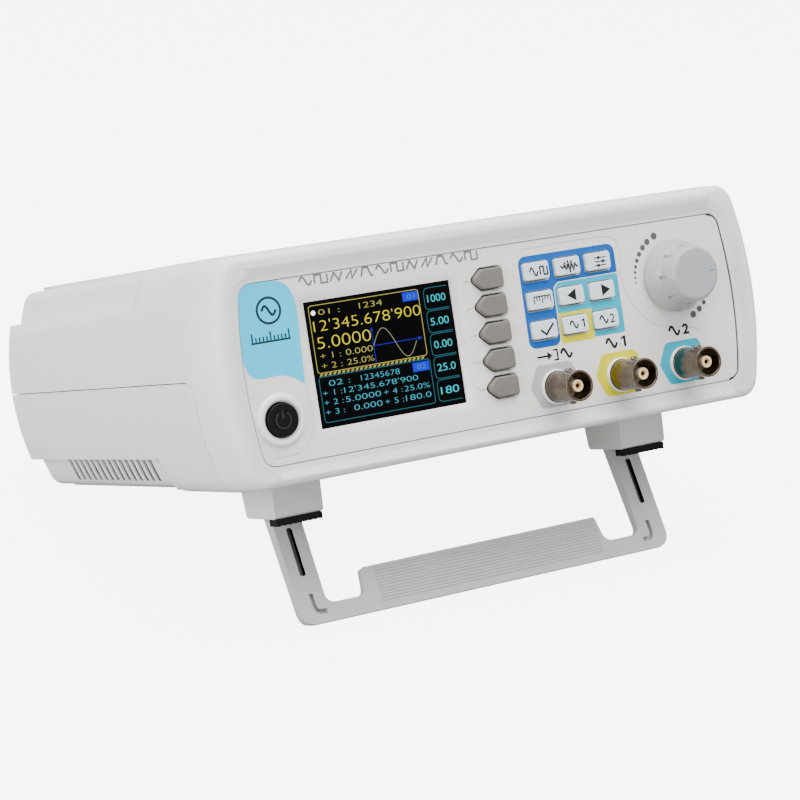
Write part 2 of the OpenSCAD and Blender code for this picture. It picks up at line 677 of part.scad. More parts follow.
// ---- signal jacks ----
module jack(x) color("#b9b6b0") place() difference() {
    union() {
        disc(x, jack_z, barrel_r, -jack_l, jack_base);
        translate([x, lug_in - jack_l, jack_z - barrel_r - lug_h])
            cylinder(h = 2 * (barrel_r + lug_h), r = lug_r);
    }
    disc(x, jack_z, barrel_bore_r, -jack_l - 1, jack_floor);
}
module jack_collars() color("#f0eee6") place() for (x = jack_xs)
    ring(x, jack_z, jack_collar_r, barrel_r + tight_gap, -1.1, jack_collar_in);
module jack_insulators() color("#e8dcc0") place() for (x = jack_xs) {
    ring(x, jack_z, barrel_bore_r - tight_gap, pin_r + tight_gap, -5, jack_floor - tight_gap);
    ring(x, jack_z, nose_r, pin_r + tight_gap, 1 - jack_l, -4.9);
}
module jack_contacts() color("gold") place() for (x = jack_xs)
    ring(x, jack_z, pin_r, 0.6, 1.4 - jack_l, jack_floor - tight_gap);
module jack_housings() color("#2e2f31") place() for (x = jack_xs) difference() {
    translate([x, 0, jack_z])
        block(-jack_house_w / 2, jack_house_w / 2, panel_t, board_y, -jack_house_w / 2, jack_house_w / 2);
    disc(x, jack_z, barrel_r + tight_gap, 0, jack_base + tight_gap);
}

// ---- feet and bail ----
// side view of the bail: a wedge from the pivot to the end, with a round head
module bail_side() {
    a = bail_yz(0, front_n);
    b = bail_yz(bail_l, front_n);
    c = bail_yz(bail_l, front_n - bail_tip_t);
    d = bail_yz(0, -bail_t / 2);
    polygon([a, b, c, d]);
    translate([pivot_y, pivot_z]) circle(r = head_out_r);
}
// front view of the bail, x by t, in its own plane
module bail_front() {
    difference() {
        polygon(rounded([[-bail_hw, -8], [-bail_hw, bail_l], [bail_hw, bail_l], [bail_hw, -8]],
            [0.5, 4.5, 4.5, 0.5]));
        polygon(rounded([[-leg_x0, -20], [-leg_x0, bar_thin], [-bar_hw - 1.5, bar_thin], [-bar_hw, bar_top],
            [bar_hw, bar_top], [bar_hw + 1.5, bar_thin], [leg_x0, bar_thin], [leg_x0, -20]],
            [0.5, 3, 3, 0.8, 0.8, 3, 3, 0.5]));
        for (s = [-1, 1]) translate([s * (leg_x0 + leg_w / 2) - leg_slot_w / 2, 11])
            square([leg_slot_w, 15.5]);
    }
}
// all that lies below the ground, which passes through p
module under_ground(p) translate([-far / 2, p[0], p[1]]) rotate([tilt, 0, 0])
    translate([0, -far / 2, -far]) cube(far);
module on_bail_plane() translate([0, pivot_y, pivot_z]) rotate([90 - bail_lean, 0, 0]) children();
module tilt_bail() color("#aeafaf") place() difference() {
    union() {
        intersection() {
            along_x(-far, far) bail_side();
            on_bail_plane() translate([0, 0, -20]) linear_extrude(40) mirror([0, 1]) bail_front();
        }
        both() rod(pivot_y, pivot_z, stud_r, leg_x0 - stud_l, bail_hw + stud_l);
    }
    under_ground(bail_rest);
}
// a foot: solid in front, a slot for the bail's leg behind, two cheeks that carry the stud
module front_foot() difference() {
    along_x(foot_x0, foot_x1) polygon(rounded([[foot_y0, -case_hh], [foot_y0 + 0.8, foot_z],
        [foot_y0 + foot_l - 1.5, foot_z], [foot_y0 + foot_l, -case_hh]], [0.2, 1.5, 1.5, 0.2]));
    along_x(leg_x0 - slot_gap, bail_hw + slot_gap) polygon([bail_yz(0, front_n + stop_gap),
        bail_yz(20, front_n + stop_gap), [far, foot_z - 10], [far, -case_hh + 1], [pivot_y, -case_hh + 1]]);
    rod(pivot_y, pivot_z, head_out_r + slot_gap, leg_x0 - slot_gap, bail_hw + slot_gap);
    rod(pivot_y, pivot_z, stud_r + stud_gap, leg_x0 - stud_l - 0.1, bail_hw + stud_l + 0.1);
    post(foot_screw_x, foot_screw_y, pilot_r, foot_z + 1.5, 0);
}
module front_foot_right() color("#b8b9b3") place() front_foot();
module front_foot_left() color("#b8b9b3") place() mirror([1, 0, 0]) front_foot();
module foot_pads() color("#161616") place() both() difference() {
    block(foot_x0 + 0.7, foot_x1 - 0.7, foot_y0 + 1, foot_y0 + pad_l, foot_z - pad_t, foot_z);
    for (i = [0 : 7]) translate([foot_x0 + 1.7 + pad_rib * i, foot_y0, foot_z - pad_t])
        block(0, pad_rib / 2, 0, pad_l + 1, -1, 0.6);
}
module rear_feet() color("#161616") place() difference() {
    both() difference() {
        post(rear_foot_x, rear_foot_y, rear_foot_r, -case_hh - rear_foot_h, -case_hh);
        post(rear_foot_x, rear_foot_y, head_r + head_gap, -far, foot_head_z);
        post(rear_foot_x, rear_foot_y, screw_hole_r, -far, 0);
    }
    under_ground(foot_rest);
}

// ---- rear connectors, on the main board ----
function port_pts(o) = rounded([[-port_w / 2 + 8 - o, -4.2 - o], [port_w / 2 - 8 + o, -4.2 - o],
    [port_w / 2 - 6.5 + o, 4.2 + o], [-port_w / 2 + 6.5 - o, 4.2 + o]], [1.6, 1.6, 1.6, 1.6]);
module usb_port() color("silver") place() difference() {
    block(usb_x - usb_w / 2, usb_x + usb_w / 2, lip_y - 16, lip_y, main_top, main_top + usb_h);
    block(usb_x - 4.3, usb_x + 4.3, lip_y - 8, lip_y + 1, main_top + 1.5, main_top + 4);
    block(usb_x - 4.3, usb_x + 4.3, lip_y - 8, lip_y + 1, main_top + 7, main_top + 9.3);
    for (s = [-1, 1]) translate([usb_x + s * 3.5, 0, main_top])
        block(-0.8, 0.8, lip_y - 8, lip_y + 1, 3.9, 7.1);
}
module dc_jack() color("#202124") place() difference() {
    block(dc_x - dc_w / 2, dc_x + dc_w / 2, lip_y - 14, lip_y, main_top, main_top + dc_h);
    ring(dc_x, main_top + 6, 3.1, 1.05, lip_y - 9, lip_y + 1);
}
module signal_port() color("silver") place() difference() {
    union() {
        translate([port_x, 0, main_top])
            block(-port_w / 2, port_w / 2, lip_y - 12, rear_y - 0.1, 0, port_h);
        along_y(rear_y - 1, lip_y) translate([port_x, port_z]) polygon(port_pts(0));
    }
    for (i = [0 : 8]) disc(port_x + 2.77 * (i < 5 ? i - 2 : i - 6.5), port_z + (i < 5 ? 1.42 : -1.42), 0.7,
        lip_y - 5, lip_y + 1);
}

// ---- inside ----
module on_board(at) block(at[0], at[1], at[2], at[3], main_top, main_top + at[4]);
module ribbon_headers() color("#26272a") place() translate([header_x, 0, 0]) {
    block(0, header_w, front_header_y, front_header_y + header_h, header_z - 3, header_z + 3);
    block(0, header_w, header_y - 3, header_y + 3, main_top, main_top + header_h);
}
module ribbon_cable() color("#8f9296") place() along_x(header_x + 1, header_x + header_w - 1) {
    t = ribbon_t / 2;
    polygon([[front_header_y + header_h, header_z - t], [header_y - 4, header_z - t],
        [header_y - t, header_z - 3.5 - t], [header_y - t, main_top + header_h],
        [header_y + t, main_top + header_h], [header_y + t, header_z - 3.1], [header_y - 3.6, header_z + t],
        [front_header_y + header_h, header_z + t]]);
}
module shield_can() color("silver") place() difference() {
    on_board(can_at);
    block(can_at[0] + can_t, can_at[1] - can_t, can_at[2] + can_t, can_at[3] - can_t,
        main_top - 1, main_top + can_at[4] - can_t);
}
module heatsink() color("#55585c") place() {
    block(sink_at[0], sink_at[1], sink_at[2], sink_at[3], main_top, main_top + sink_base);
    for (i = [0 : 8]) translate([sink_at[0] + fin_pitch * i, 0, main_top])
        block(0, fin_t, sink_at[2], sink_at[3], sink_base - 0.1, sink_at[4]);
}
module relays() color("#d8d8d4") place() for (at = relays_at) on_board(at);
module capacitors() color("#3b3f7a") place() for (i = [0 : 2])
    post(capacitor_x + capacitor_pitch * i, main_y1 - 32, 4, main_top, main_top + 12);
module logic_chips() color("#1e1f22") place() for (at = chips_at) on_board(at);

// ---- screws ----
module case_screws() color("#6e7074") place() both() for (y = post_ys) {
    post(post_x, y, screw_r, head_z - 0.5, 10);
    post(post_x, y, head_r, head_z - head_h, head_z);
}
module board_screws() color("#6e7074") place() for (p = board_screws_at) {
    post(p[0], p[1], board_screw_r, floor_z + 3, main_top + 0.5);
    post(p[0], p[1], board_screw_r + 1, main_top, main_top + 1.6);
}
module panel_screws() color("#6e7074") place() for (p = panel_screws_at) {
    disc(p[0], p[1], board_screw_r, panel_t + 0.5, board_y + board_t + 0.5);
    disc(p[0], p[1], board_screw_r + 1, board_y + board_t, board_y + board_t + 1.6);
}
module foot_screws() color("#6e7074") place() both() {
    post(foot_screw_x, foot_screw_y, screw_r, foot_z + 2.5, floor_z + 0.5);
    post(foot_screw_x, foot_screw_y, head_r, floor_z, floor_z + head_h);
    post(rear_foot_x, rear_foot_y, screw_r, -case_hh - 3, floor_z + 1.5);
    post(rear_foot_x, rear_foot_y, head_r, foot_head_z - head_h, foot_head_z);
    post(rear_foot_x, rear_foot_y, head_r, floor_z, floor_z + 1.8);
}

front_panel();
top_cover();
bottom_cover();
rear_panel();
display_glass();
display_module();
front_board();
main_board();
soft_key(0);  // soft_key_1
soft_key(1);  // soft_key_2
soft_key(2);  // soft_key_3
soft_key(3);  // soft_key_4
soft_key(4);  // soft_key_5
pad_key(0);  // pad_key_1
pad_key(1);  // pad_key_2
pad_key(2);  // pad_key_3
pad_key(3);  // pad_key_4
pad_key(4);  // pad_key_5
pad_key(5);  // pad_key_6
pad_key(6);  // pad_key_7
pad_key(7);  // pad_key_8
pad_key(8);  // pad_key_9
power_button();
power_collar();
power_switch();
soft_switches();
pad_switches();
adjust_knob();
encoder_shaft();
encoder_body();
encoder_nut();
jack(jack_xs[0]);  // input_jack
jack(jack_xs[1]);  // output_jack_1
jack(jack_xs[2]);  // output_jack_2
jack_collars();
jack_insulators();
jack_contacts();
jack_housings();
tilt_bail();
front_foot_left();
front_foot_right();
foot_pads();
rear_feet();
usb_port();
dc_jack();
signal_port();
ribbon_cable();
ribbon_headers();
shield_can();
heatsink();
relays();
capacitors();
logic_chips();
case_screws();
board_screws();
panel_screws();
foot_screws();
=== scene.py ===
import json
from math import cos, pi, radians, sin, tau

import bpy
from mathutils import Matrix, Vector

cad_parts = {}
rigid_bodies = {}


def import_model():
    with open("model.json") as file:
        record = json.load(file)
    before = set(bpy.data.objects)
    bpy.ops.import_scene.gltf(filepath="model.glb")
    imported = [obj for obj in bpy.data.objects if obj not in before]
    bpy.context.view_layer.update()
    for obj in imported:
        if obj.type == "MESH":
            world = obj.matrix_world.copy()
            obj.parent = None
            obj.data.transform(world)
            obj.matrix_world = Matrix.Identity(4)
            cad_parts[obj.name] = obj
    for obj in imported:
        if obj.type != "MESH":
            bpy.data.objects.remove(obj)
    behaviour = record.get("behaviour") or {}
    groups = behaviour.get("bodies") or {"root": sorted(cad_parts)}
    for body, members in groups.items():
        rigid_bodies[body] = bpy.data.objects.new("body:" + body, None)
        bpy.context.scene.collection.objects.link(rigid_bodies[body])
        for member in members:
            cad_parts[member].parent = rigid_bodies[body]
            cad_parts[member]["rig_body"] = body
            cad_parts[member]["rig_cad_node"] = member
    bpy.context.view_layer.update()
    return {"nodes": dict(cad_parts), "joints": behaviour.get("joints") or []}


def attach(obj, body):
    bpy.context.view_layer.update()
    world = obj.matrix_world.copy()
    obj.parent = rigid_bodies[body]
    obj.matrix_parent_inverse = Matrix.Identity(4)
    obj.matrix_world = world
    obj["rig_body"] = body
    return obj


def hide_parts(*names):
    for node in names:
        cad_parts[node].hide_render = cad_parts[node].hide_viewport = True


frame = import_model()
nodes = frame["nodes"]
joints = {joint["name"]: joint for joint in frame["joints"]}

# ---- where the level case lies, tipped back on its bail: x right, y into the panel, z up ----
MM = 0.001
BAIL_PIVOT = (0, 44.2, -41.0)
into_panel = Vector(joints["power_press"]["axis"])
up_panel = Vector((1, 0, 0)).cross(into_panel)
case_origin = Vector(joints["bail_hinge"]["pos_m"]) - (into_panel * BAIL_PIVOT[1]
                                                       + up_panel * BAIL_PIVOT[2]) * MM
case_axes = Matrix((Vector((1, 0, 0)), into_panel, up_panel)).transposed().to_4x4()
CASE = Matrix.Translation(case_origin) @ case_axes @ Matrix.Scale(MM, 4)
TO_CASE = CASE.inverted()


def extent(name, axis):
    """A node's two ends along an axis of the case, in millimetres."""
    ends = [(TO_CASE @ vertex.co)[axis] for vertex in nodes[name].data.vertices]
    return min(ends), max(ends)


def front_of(name):
    """How far a node stands out of the panel's face."""
    return round(-extent(name, 1)[0], 2)


def middle(name):
    """The x and z of a node's middle."""
    return tuple(round(sum(extent(name, axis)) / 2, 2) for axis in (0, 2))


KEY = {number: middle(f"pad_key_{number}") for number in range(1, 10)}
SOFT_KEY_Z = [middle(f"soft_key_{number}")[1] for number in range(1, 6)]
JACK_X = [middle(name)[0] for name in ("input_jack", "output_jack_1", "output_jack_2")]
JACK_Z = middle("input_jack")[1]
POWER_X, POWER_Z = middle("power_collar")
SCREEN_X, SCREEN_Z = middle("display_glass")
PANEL_Z = middle("front_panel")[1]
knob_axis = TO_CASE @ Vector(joints["knob_turn"]["pos_m"])
KNOB_X, KNOB_Z = round(knob_axis.x, 2), round(knob_axis.z, 2)

# ---- camera, light and floor ----
CAMERA_PLACE = (-392.0, -665.8, 27.7)
CAMERA_DIP = 18.74
CAMERA_TURN = -29.65
bpy.ops.object.camera_add(location=CASE @ Vector(CAMERA_PLACE),
                          rotation=(radians(90 - CAMERA_DIP), 0, radians(CAMERA_TURN)))
camera = bpy.context.object
camera.data.sensor_width = 36
camera.data.lens = 113.94
camera.data.clip_start = 0.05
bpy.context.scene.camera = camera

world = bpy.data.worlds.new("white_tent")
bpy.context.scene.world = world
world.use_nodes = True
tent = world.node_tree.nodes["Background"]
tent.inputs["Color"].default_value = (1, 1, 1, 1)
tent.inputs["Strength"].default_value = 1.05


def softbox(name, place, aim, size, watts):
    """A square light that faces its aim."""
    bpy.ops.object.light_add(type="AREA", location=place)
    light = bpy.context.object
    light.name = name
    light.data.size = size
    light.data.energy = watts
    light.rotation_euler = (Vector(aim) - Vector(place)).to_track_quat("-Z", "Y").to_euler()


softbox("overhead_softbox", (0.1, -0.25, 1.3), (0, 0, 0), 1.4, 46.0)
softbox("left_softbox", (-1.4, -0.3, 0.38), (0, 0, 0.06), 1.0, 29.0)


# ---- small helpers ----
def only(*pieces):
    """Selects these pieces and nothing else."""
    bpy.ops.object.select_all(action="DESELECT")
    for piece in pieces:
        piece.select_set(True)
    if pieces:
        bpy.context.view_layer.objects.active = pieces[0]


def linear(colour):
    """An sRGB hex colour in linear light."""
    channels = [int(colour[i:i + 2], 16) / 255 for i in (1, 3, 5)]
    return (*[c / 12.92 if c <= 0.04045 else ((c + 0.055) / 1.055) ** 2.4 for c in channels], 1)


def add(tree, kind, inputs=(), **settings):
    """A node with its settings, its values and the sockets that feed it."""
    made = tree.nodes.new(kind)
    for name, value in settings.items():
        setattr(made, name, value)
    for name, value in dict(inputs).items():
        if isinstance(value, bpy.types.NodeSocket):
            tree.links.new(value, made.inputs[name])
        else:
            made.inputs[name].default_value = value
    return made


def finish(name, colour, roughness, **sockets):
    """A new material with its constants on the shader, its tree, shader and place on the object."""
    material = bpy.data.materials.new(name)
    material.use_nodes = True
    tree = material.node_tree
    shader = tree.nodes["Principled BSDF"]
    shader.inputs["Base Color"].default_value = linear(colour)
    shader.inputs["Roughness"].default_value = roughness
    for socket, value in sockets.items():
        shader.inputs[socket.replace("_", " ")].default_value = value
    where = add(tree, "ShaderNodeTexCoord").outputs["Object"]
    return material, tree, shader, where


def per_mm(size):
    """Noise scale whose features are about this many millimetres."""
    return 1000 / size


def worked(finished, fine, broad, low, high, depth=0.0, strength=0.5, span=(0.0, 1.0)):
    """Roughness that wanders between two values, and bump of this depth in millimetres."""
    material, tree, shader, _ = finished
    shine = add(tree, "ShaderNodeMapRange", {
        "Value": broad.outputs["Fac"], "From Min": span[0], "From Max": span[1],
        "To Min": low, "To Max": high})
    tree.links.new(shine.outputs["Result"], shader.inputs["Roughness"])
    if depth:
        bump = add(tree, "ShaderNodeBump", {
            "Height": fine.outputs["Fac"], "Distance": depth * MM, "Strength": strength})
        tree.links.new(bump.outputs["Normal"], shader.inputs["Normal"])
    return material


MIX_AMOUNT, MIX_FROM, MIX_TO, MIX_RESULT = 0, 6, 7, 2        # a colour mix's sockets
WORN = (0.3, 0.7)                                            # the middle of a noise's range


def tinted(finished, amount, colour, dark):
    """Blends the colour towards a darker one."""
    _, tree, shader, _ = finished
    tint = add(tree, "ShaderNodeMix", {
        MIX_AMOUNT: amount, MIX_FROM: linear(colour), MIX_TO: linear(dark)}, data_type="RGBA")
    tree.links.new(tint.outputs[MIX_RESULT], shader.inputs["Base Color"])


def moulded(name, colour, dark, grain, depth, low, high, patches=14, **sockets):
    """A moulded finish: grain as bump, a dulling that wanders and a slight change of colour."""
    finished = finish(name, colour, (low + high) / 2, **sockets)
    _, tree, _, where = finished
    fine = add(tree, "ShaderNodeTexNoise", {
        "Vector": where, "Scale": per_mm(grain), "Detail": 2.0})
    broad = add(tree, "ShaderNodeTexNoise", {
        "Vector": where, "Scale": per_mm(patches), "Detail": 3.0})
    blend = add(tree, "ShaderNodeMapRange", {
        "Value": broad.outputs["Fac"], "From Min": 0.35, "From Max": 0.75})
    tinted(finished, blend.outputs["Result"], colour, dark)
    return worked(finished, fine, broad, low, high, depth, 0.6, WORN)


# ---- finishes ----
PLASTIC_IOR = 1.53
# ABS moulded in a spark-eroded tool: an even fine grain, drawn at 0.5 mm so that it shows,
# dull with a soft sheen
case_abs = moulded("moulded_white_ABS", "#DADBDC", "#D6D7D9", 0.5, 0.02, 0.42, 0.52,
                   IOR=PLASTIC_IOR)
panel_abs = moulded("moulded_warm_white_ABS", "#DEDBD6", "#DAD7D2", 0.5, 0.015, 0.45, 0.55,
                    IOR=PLASTIC_IOR)
rear_abs = moulded("moulded_charcoal_ABS", "#36383B", "#303235", 0.5, 0.03, 0.44, 0.58,
                   IOR=PLASTIC_IOR)
foot_abs = moulded("moulded_stone_ABS", "#CBCCC6", "#C5C6C0", 0.5, 0.02, 0.46, 0.58,
                   IOR=PLASTIC_IOR)
bail_abs = moulded("moulded_grey_ABS", "#B0B1B1", "#A9AAAA", 0.5, 0.02, 0.4, 0.52, IOR=PLASTIC_IOR)
# a mid-grey that is painted shade: it darkens the backs of the bail's leg slots
painted_slot_shade_abs = moulded("painted_slot_shade_grey", "#626364", "#5C5D5E", 0.5, 0.02, 0.45, 0.55,
                   IOR=PLASTIC_IOR)
# ABS from a blasted tool: a satin skin whose grain can hardly be seen
knob_abs = moulded("satin_pearl_ABS", "#999A9D", "#949598", 0.5, 0.008, 0.3, 0.4, 6,
                   IOR=PLASTIC_IOR)
key_abs = moulded("satin_pale_ABS", "#D3DCE2", "#CDD7DE", 0.6, 0.006, 0.3, 0.4, 4, IOR=PLASTIC_IOR)
button_abs = moulded("satin_black_ABS", "#060607", "#040405", 0.5, 0.01, 0.4, 0.5, 5,
                     Specular_IOR_Level=0.15)
# ABS from a polished tool: smooth, with a clear highlight
collar_abs = moulded("polished_ivory_ABS", "#EAE8E3", "#E5E3DD", 0.8, 0.006, 0.2, 0.32, 6,
                     IOR=PLASTIC_IOR)
# moulded nylon: a little waxy, between dull and satin
dark_nylon = moulded("moulded_black_nylon", "#232427", "#1C1D20", 0.6, 0.02, 0.4, 0.55,
                     IOR=PLASTIC_IOR)
white_nylon = moulded("moulded_white_nylon", "#D8D8D2", "#D2D2CB", 0.6, 0.01, 0.35, 0.45, 6,
                      IOR=PLASTIC_IOR)
# silicone keys: dull and slightly soft, with a trace of dust in their colour
soft_silicone = moulded("moulded_grey_silicone", "#67645F", "#625F5B", 0.5, 0.02, 0.56, 0.7, 5,
                        IOR=1.41)
# black rubber: matt, with hardly any highlight
pad_rubber = moulded("moulded_black_rubber", "#0B0B0B", "#101010", 0.6, 0.05, 0.7, 0.85, 4,
                     Specular_IOR_Level=0.2)
# PVC: a sleeve shrunk tight and glossy, and a ribbon whose ridges are its 1.27 mm wires
sleeve = moulded("shrunk_blue_PVC_sleeve", "#252A66", "#1E2258", 1.0, 0.01, 0.25, 0.36, 5,
                 IOR=PLASTIC_IOR)
ribbon_pvc = moulded("extruded_grey_PVC", "#8F9296", "#85888C", 1.27, 0.1, 0.45, 0.55, 5,
                     IOR=PLASTIC_IOR)
# turned PTFE: waxy cream, faintly uneven
ptfe = moulded("turned_cream_PTFE", "#D9C3A0", "#CDB58F", 0.5, 0.01, 0.36, 0.48, 2, IOR=1.35)
# solder mask over glass cloth: glossy green with a soft ripple
solder_mask = moulded("green_solder_mask", "#0F4A2A", "#0B3F22", 1.2, 0.01, 0.25, 0.4, 7, IOR=1.5)


def metal(name, colour, dark, low, high, groove, depth):
    """Plated or turned metal: fine marks across it as bump, and a dulling that wanders."""
    finished = finish(name, colour, low, Metallic=1.0)
    _, tree, _, where = finished
    along = add(tree, "ShaderNodeMapping", {"Vector": where, "Scale": (0.15, 1.0, 1.0)})
    lines = add(tree, "ShaderNodeTexNoise", {
        "Vector": along.outputs["Vector"], "Scale": per_mm(groove), "Detail": 2.0})
    broad = add(tree, "ShaderNodeTexNoise", {"Vector": where, "Scale": per_mm(5), "Detail": 3.0})
    tinted(finished, broad.outputs["Fac"], colour, dark)
    return worked(finished, lines, broad, low, high, depth, 0.5, WORN)


# nickel plate over turned brass, mirror-like but for the turning marks; its dark warm grey is
# painted reflection of dim surroundings, darker than the plate itself
nickel = metal("turned_nickel_with_painted_reflection", "#74695D", "#564B40", 0.2, 0.32, 0.4, 0.01)
# gold plate: yellow and bright
gold = metal("gold_plated_contact", "#E3B566", "#C99748", 0.2, 0.3, 0.4, 0.008)
# rolled zinc plate: pale, half dull, with faint rolling marks
zinc = metal("rolled_zinc_plate", "#B9BBBE", "#A2A4A8", 0.28, 0.42, 0.5, 0.015)
# black anodised aluminium: dark grey with a metal's soft glint
anodised = metal("black_anodised_aluminium", "#55585C", "#4A4D51", 0.4, 0.5, 0.4, 0.01)


def ink(name, colour):
    """Screen-printed ink: a flat film, half dull, with a faint mottle of its own."""
    finished = finish(name, colour, 0.5, Specular_IOR_Level=0.25)
    _, tree, _, where = finished
    mottle = add(tree, "ShaderNodeTexNoise", {
        "Vector": where, "Scale": per_mm(0.8), "Detail": 2.0})
    return worked(finished, mottle, mottle, 0.44, 0.58, 0.004)


cyan_ink = ink("cyan_screen_print", "#00BCE4")
sky_ink = ink("sky_screen_print", "#009FB9")
blue_ink = ink("blue_screen_print", "#00519E")
yellow_ink = ink("yellow_screen_print", "#CCC400")
grey_ink = ink("grey_screen_print", "#A3A4AA")
dark_ink = ink("dark_screen_print", "#17222B")
black_ink = ink("black_screen_print", "#0B0B0C")
text_ink = ink("mid_grey_screen_print", "#6A6864")
dot_ink = ink("dot_grey_screen_print", "#504E4B")
symbol_ink = ink("charcoal_pad_print", "#222124")


def lit(name, colour, strength):
    """Cells of a backlit display: black when off, and they glow in one colour."""
    finished = finish(name, "#050506", 0.3, Specular_IOR_Level=0.06)
    _, tree, shader, where = finished
    shader.inputs["Emission Color"].default_value = linear(colour)
    shader.inputs["Emission Strength"].default_value = strength
    cells = add(tree, "ShaderNodeTexChecker", {"Vector": where, "Scale": per_mm(0.15)})
    return worked(finished, cells, cells, 0.26, 0.34)


lit_yellow = lit("lit_yellow_cells", "#FFF030", 1.15)
lit_dim_yellow = lit("lit_dim_yellow_cells", "#E8DC68", 0.75)
lit_cyan = lit("lit_cyan_cells", "#30DCEC", 1.0)
lit_steel_blue = lit("lit_steel_blue_cells", "#40B8C8", 0.42)
lit_teal = lit("lit_teal_cells", "#48C0D8", 1.0)
lit_light_blue = lit("lit_light_blue_cells", "#50A0FF", 0.8)
lit_blue = lit("lit_blue_cells", "#0020FF", 1.1)
lit_violet = lit("lit_violet_cells", "#3818FF", 0.6)
lit_white = lit("lit_white_cells", "#F4F6F0", 3.0)
lit_grey = lit("lit_grey_cells", "#E6E2B0", 0.5)


def polished_glass():
    """The display's cover glass over dark cells: black and polished, its dulling wandering
    slightly.
    """
    finished = finish("polished_display_glass", "#000001", 0.12, Specular_IOR_Level=0.06)
    _, tree, _, where = finished
    wave = add(tree, "ShaderNodeTexNoise", {"Vector": where, "Scale": per_mm(12), "Detail": 1.0})
    return worked(finished, wave, wave, 0.1, 0.16)


# every CAD node's finish
FINISH = {
    "top_cover": case_abs, "bottom_cover": case_abs, "front_panel": panel_abs,
    "rear_panel": rear_abs, "display_glass": polished_glass(), "display_module": zinc,
    "front_board": solder_mask, "main_board": solder_mask, "power_button": button_abs,
    "power_collar": collar_abs, "power_switch": dark_nylon, "soft_switches": dark_nylon,
    "pad_switches": dark_nylon, "adjust_knob": knob_abs, "encoder_shaft": zinc,
    "encoder_body": zinc, "encoder_nut": nickel, "input_jack": nickel, "output_jack_1": nickel,
    "output_jack_2": nickel, "jack_collars": collar_abs, "jack_insulators": ptfe,
    "jack_contacts": gold, "jack_housings": dark_nylon, "tilt_bail": bail_abs,
    "front_foot_left": foot_abs, "front_foot_right": foot_abs, "foot_pads": pad_rubber,
    "rear_feet": pad_rubber, "usb_port": zinc, "dc_jack": dark_nylon, "signal_port": zinc,
    "ribbon_cable": ribbon_pvc, "ribbon_headers": dark_nylon, "shield_can": zinc,
    "heatsink": anodised, "relays": white_nylon, "capacitors": sleeve,
    "logic_chips": dark_nylon, "case_screws": zinc, "board_screws": zinc,
    "panel_screws": zinc, "foot_screws": zinc,
}
FINISH.update({f"soft_key_{i}": soft_silicone for i in range(1, 6)})
FINISH.update({f"pad_key_{i}": key_abs for i in range(1, 10)})
for name, node in nodes.items():
    node.data.materials.clear()
    node.data.materials.append(FINISH[name])
BODY = {name: node["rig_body"] for name, node in nodes.items()}


# ---- pieces that stand in for CAD nodes, with the small roundings of the real mouldings ----
def stand_in_for(name):
    """A copy of a CAD node with its seams closed, to finish and show in the node's place."""
    only(nodes[name])
    bpy.ops.object.duplicate()
    piece = bpy.context.object
    piece.name = name + "_finished"
    del piece["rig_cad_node"]
    piece.parent = None
    bpy.ops.object.mode_set(mode="EDIT")
    bpy.ops.mesh.select_all(action="SELECT")
    bpy.ops.mesh.remove_doubles(threshold=0.000004)
    bpy.ops.mesh.dissolve_limited(angle_limit=radians(0.8))
    bpy.ops.object.mode_set(mode="OBJECT")
    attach(piece, BODY[name])
    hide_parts(name)
    return piece


SHARP = 32            # degrees: edges sharper than this are rounded


def soften(piece, width, segments):
    """Rounds the sharp edges and evens the shading of the flats between them."""
    only(piece)
    if width:
        bevel = piece.modifiers.new("edges", "BEVEL")
        bevel.width, bevel.segments = width * MM, segments
        bevel.limit_method, bevel.angle_limit = "ANGLE", radians(SHARP)
        bevel.use_clamp_overlap = False
        bpy.ops.object.modifier_apply(modifier=bevel.name)
    bpy.ops.object.shade_smooth_by_angle(angle=radians(SHARP + 8))
    even = piece.modifiers.new("even", "WEIGHTED_NORMAL")
    even.keep_sharp = True
    bpy.ops.object.modifier_apply(modifier=even.name)


# the width of each one's rounding; the covers and the panel have theirs in the CAD
EDGES = {
    "top_cover": 0, "bottom_cover": 0, "rear_panel": 0.25, "front_panel": 0,
    "power_collar": 0.06, "adjust_knob": 0.1, "input_jack": 0.18, "output_jack_1": 0.18,
    "output_jack_2": 0.18, "jack_collars": 0.3, "jack_insulators": 0.15, "jack_contacts": 0.1,
    "tilt_bail": 0.12, "front_foot_left": 0.5, "front_foot_right": 0.5, "foot_pads": 0.12,
    "rear_feet": 0.3, "usb_port": 0.2, "dc_jack": 0.2, "signal_port": 0.2, "power_button": 0.3,
}
EDGES.update({f"soft_key_{i}": 0.5 for i in range(1, 6)})
EDGES.update({f"pad_key_{i}": 0.3 for i in range(1, 10)})
stand_in = {name: stand_in_for(name) for name in EDGES}

# ---- helpers for printed, lit and cut shapes: outlines in millimetres on a plane ----
# panel plane: x right, y up, z out of the panel
PANEL = CASE @ Matrix(((1, 0, 0, 0), (0, 0, -1, 0), (0, 1, 0, 0), (0, 0, 0, 1)))
# bail plane: x right, y up its legs, z out of its front
BAIL_LEAN = radians(20)
BAIL_FRONT = 2.5
BAIL = CASE @ Matrix.Translation(BAIL_PIVOT) @ Matrix.Rotation(pi / 2 - BAIL_LEAN, 4, "X")
STRAIGHT = 0.9999     # a corner whose sides' directions agree this closely isn't one


def rounded(corners, radii, steps=6):
    """A closed outline whose corners are arcs."""
    outline = []
    for i, corner in enumerate(corners):
        radius = radii[i] if isinstance(radii, (list, tuple)) else radii
        here = Vector(corner)
        back = (Vector(corners[i - 1]) - here).normalized()
        ahead = (Vector(corners[(i + 1) % len(corners)]) - here).normalized()
        if radius == 0 or abs(back.dot(ahead)) > STRAIGHT:
            outline.append(tuple(here))
            continue
        half = back.angle(ahead) / 2
        centre = here + (back + ahead).normalized() * (radius / sin(half))
        first = here + back * (radius / (sin(half) / cos(half))) - centre
        last = here + ahead * (radius / (sin(half) / cos(half))) - centre
        turn = first.angle_signed(last)
        for step in range(steps + 1):
            outline.append(tuple(centre + Matrix.Rotation(-turn * step / steps, 2) @ first))
    return outline


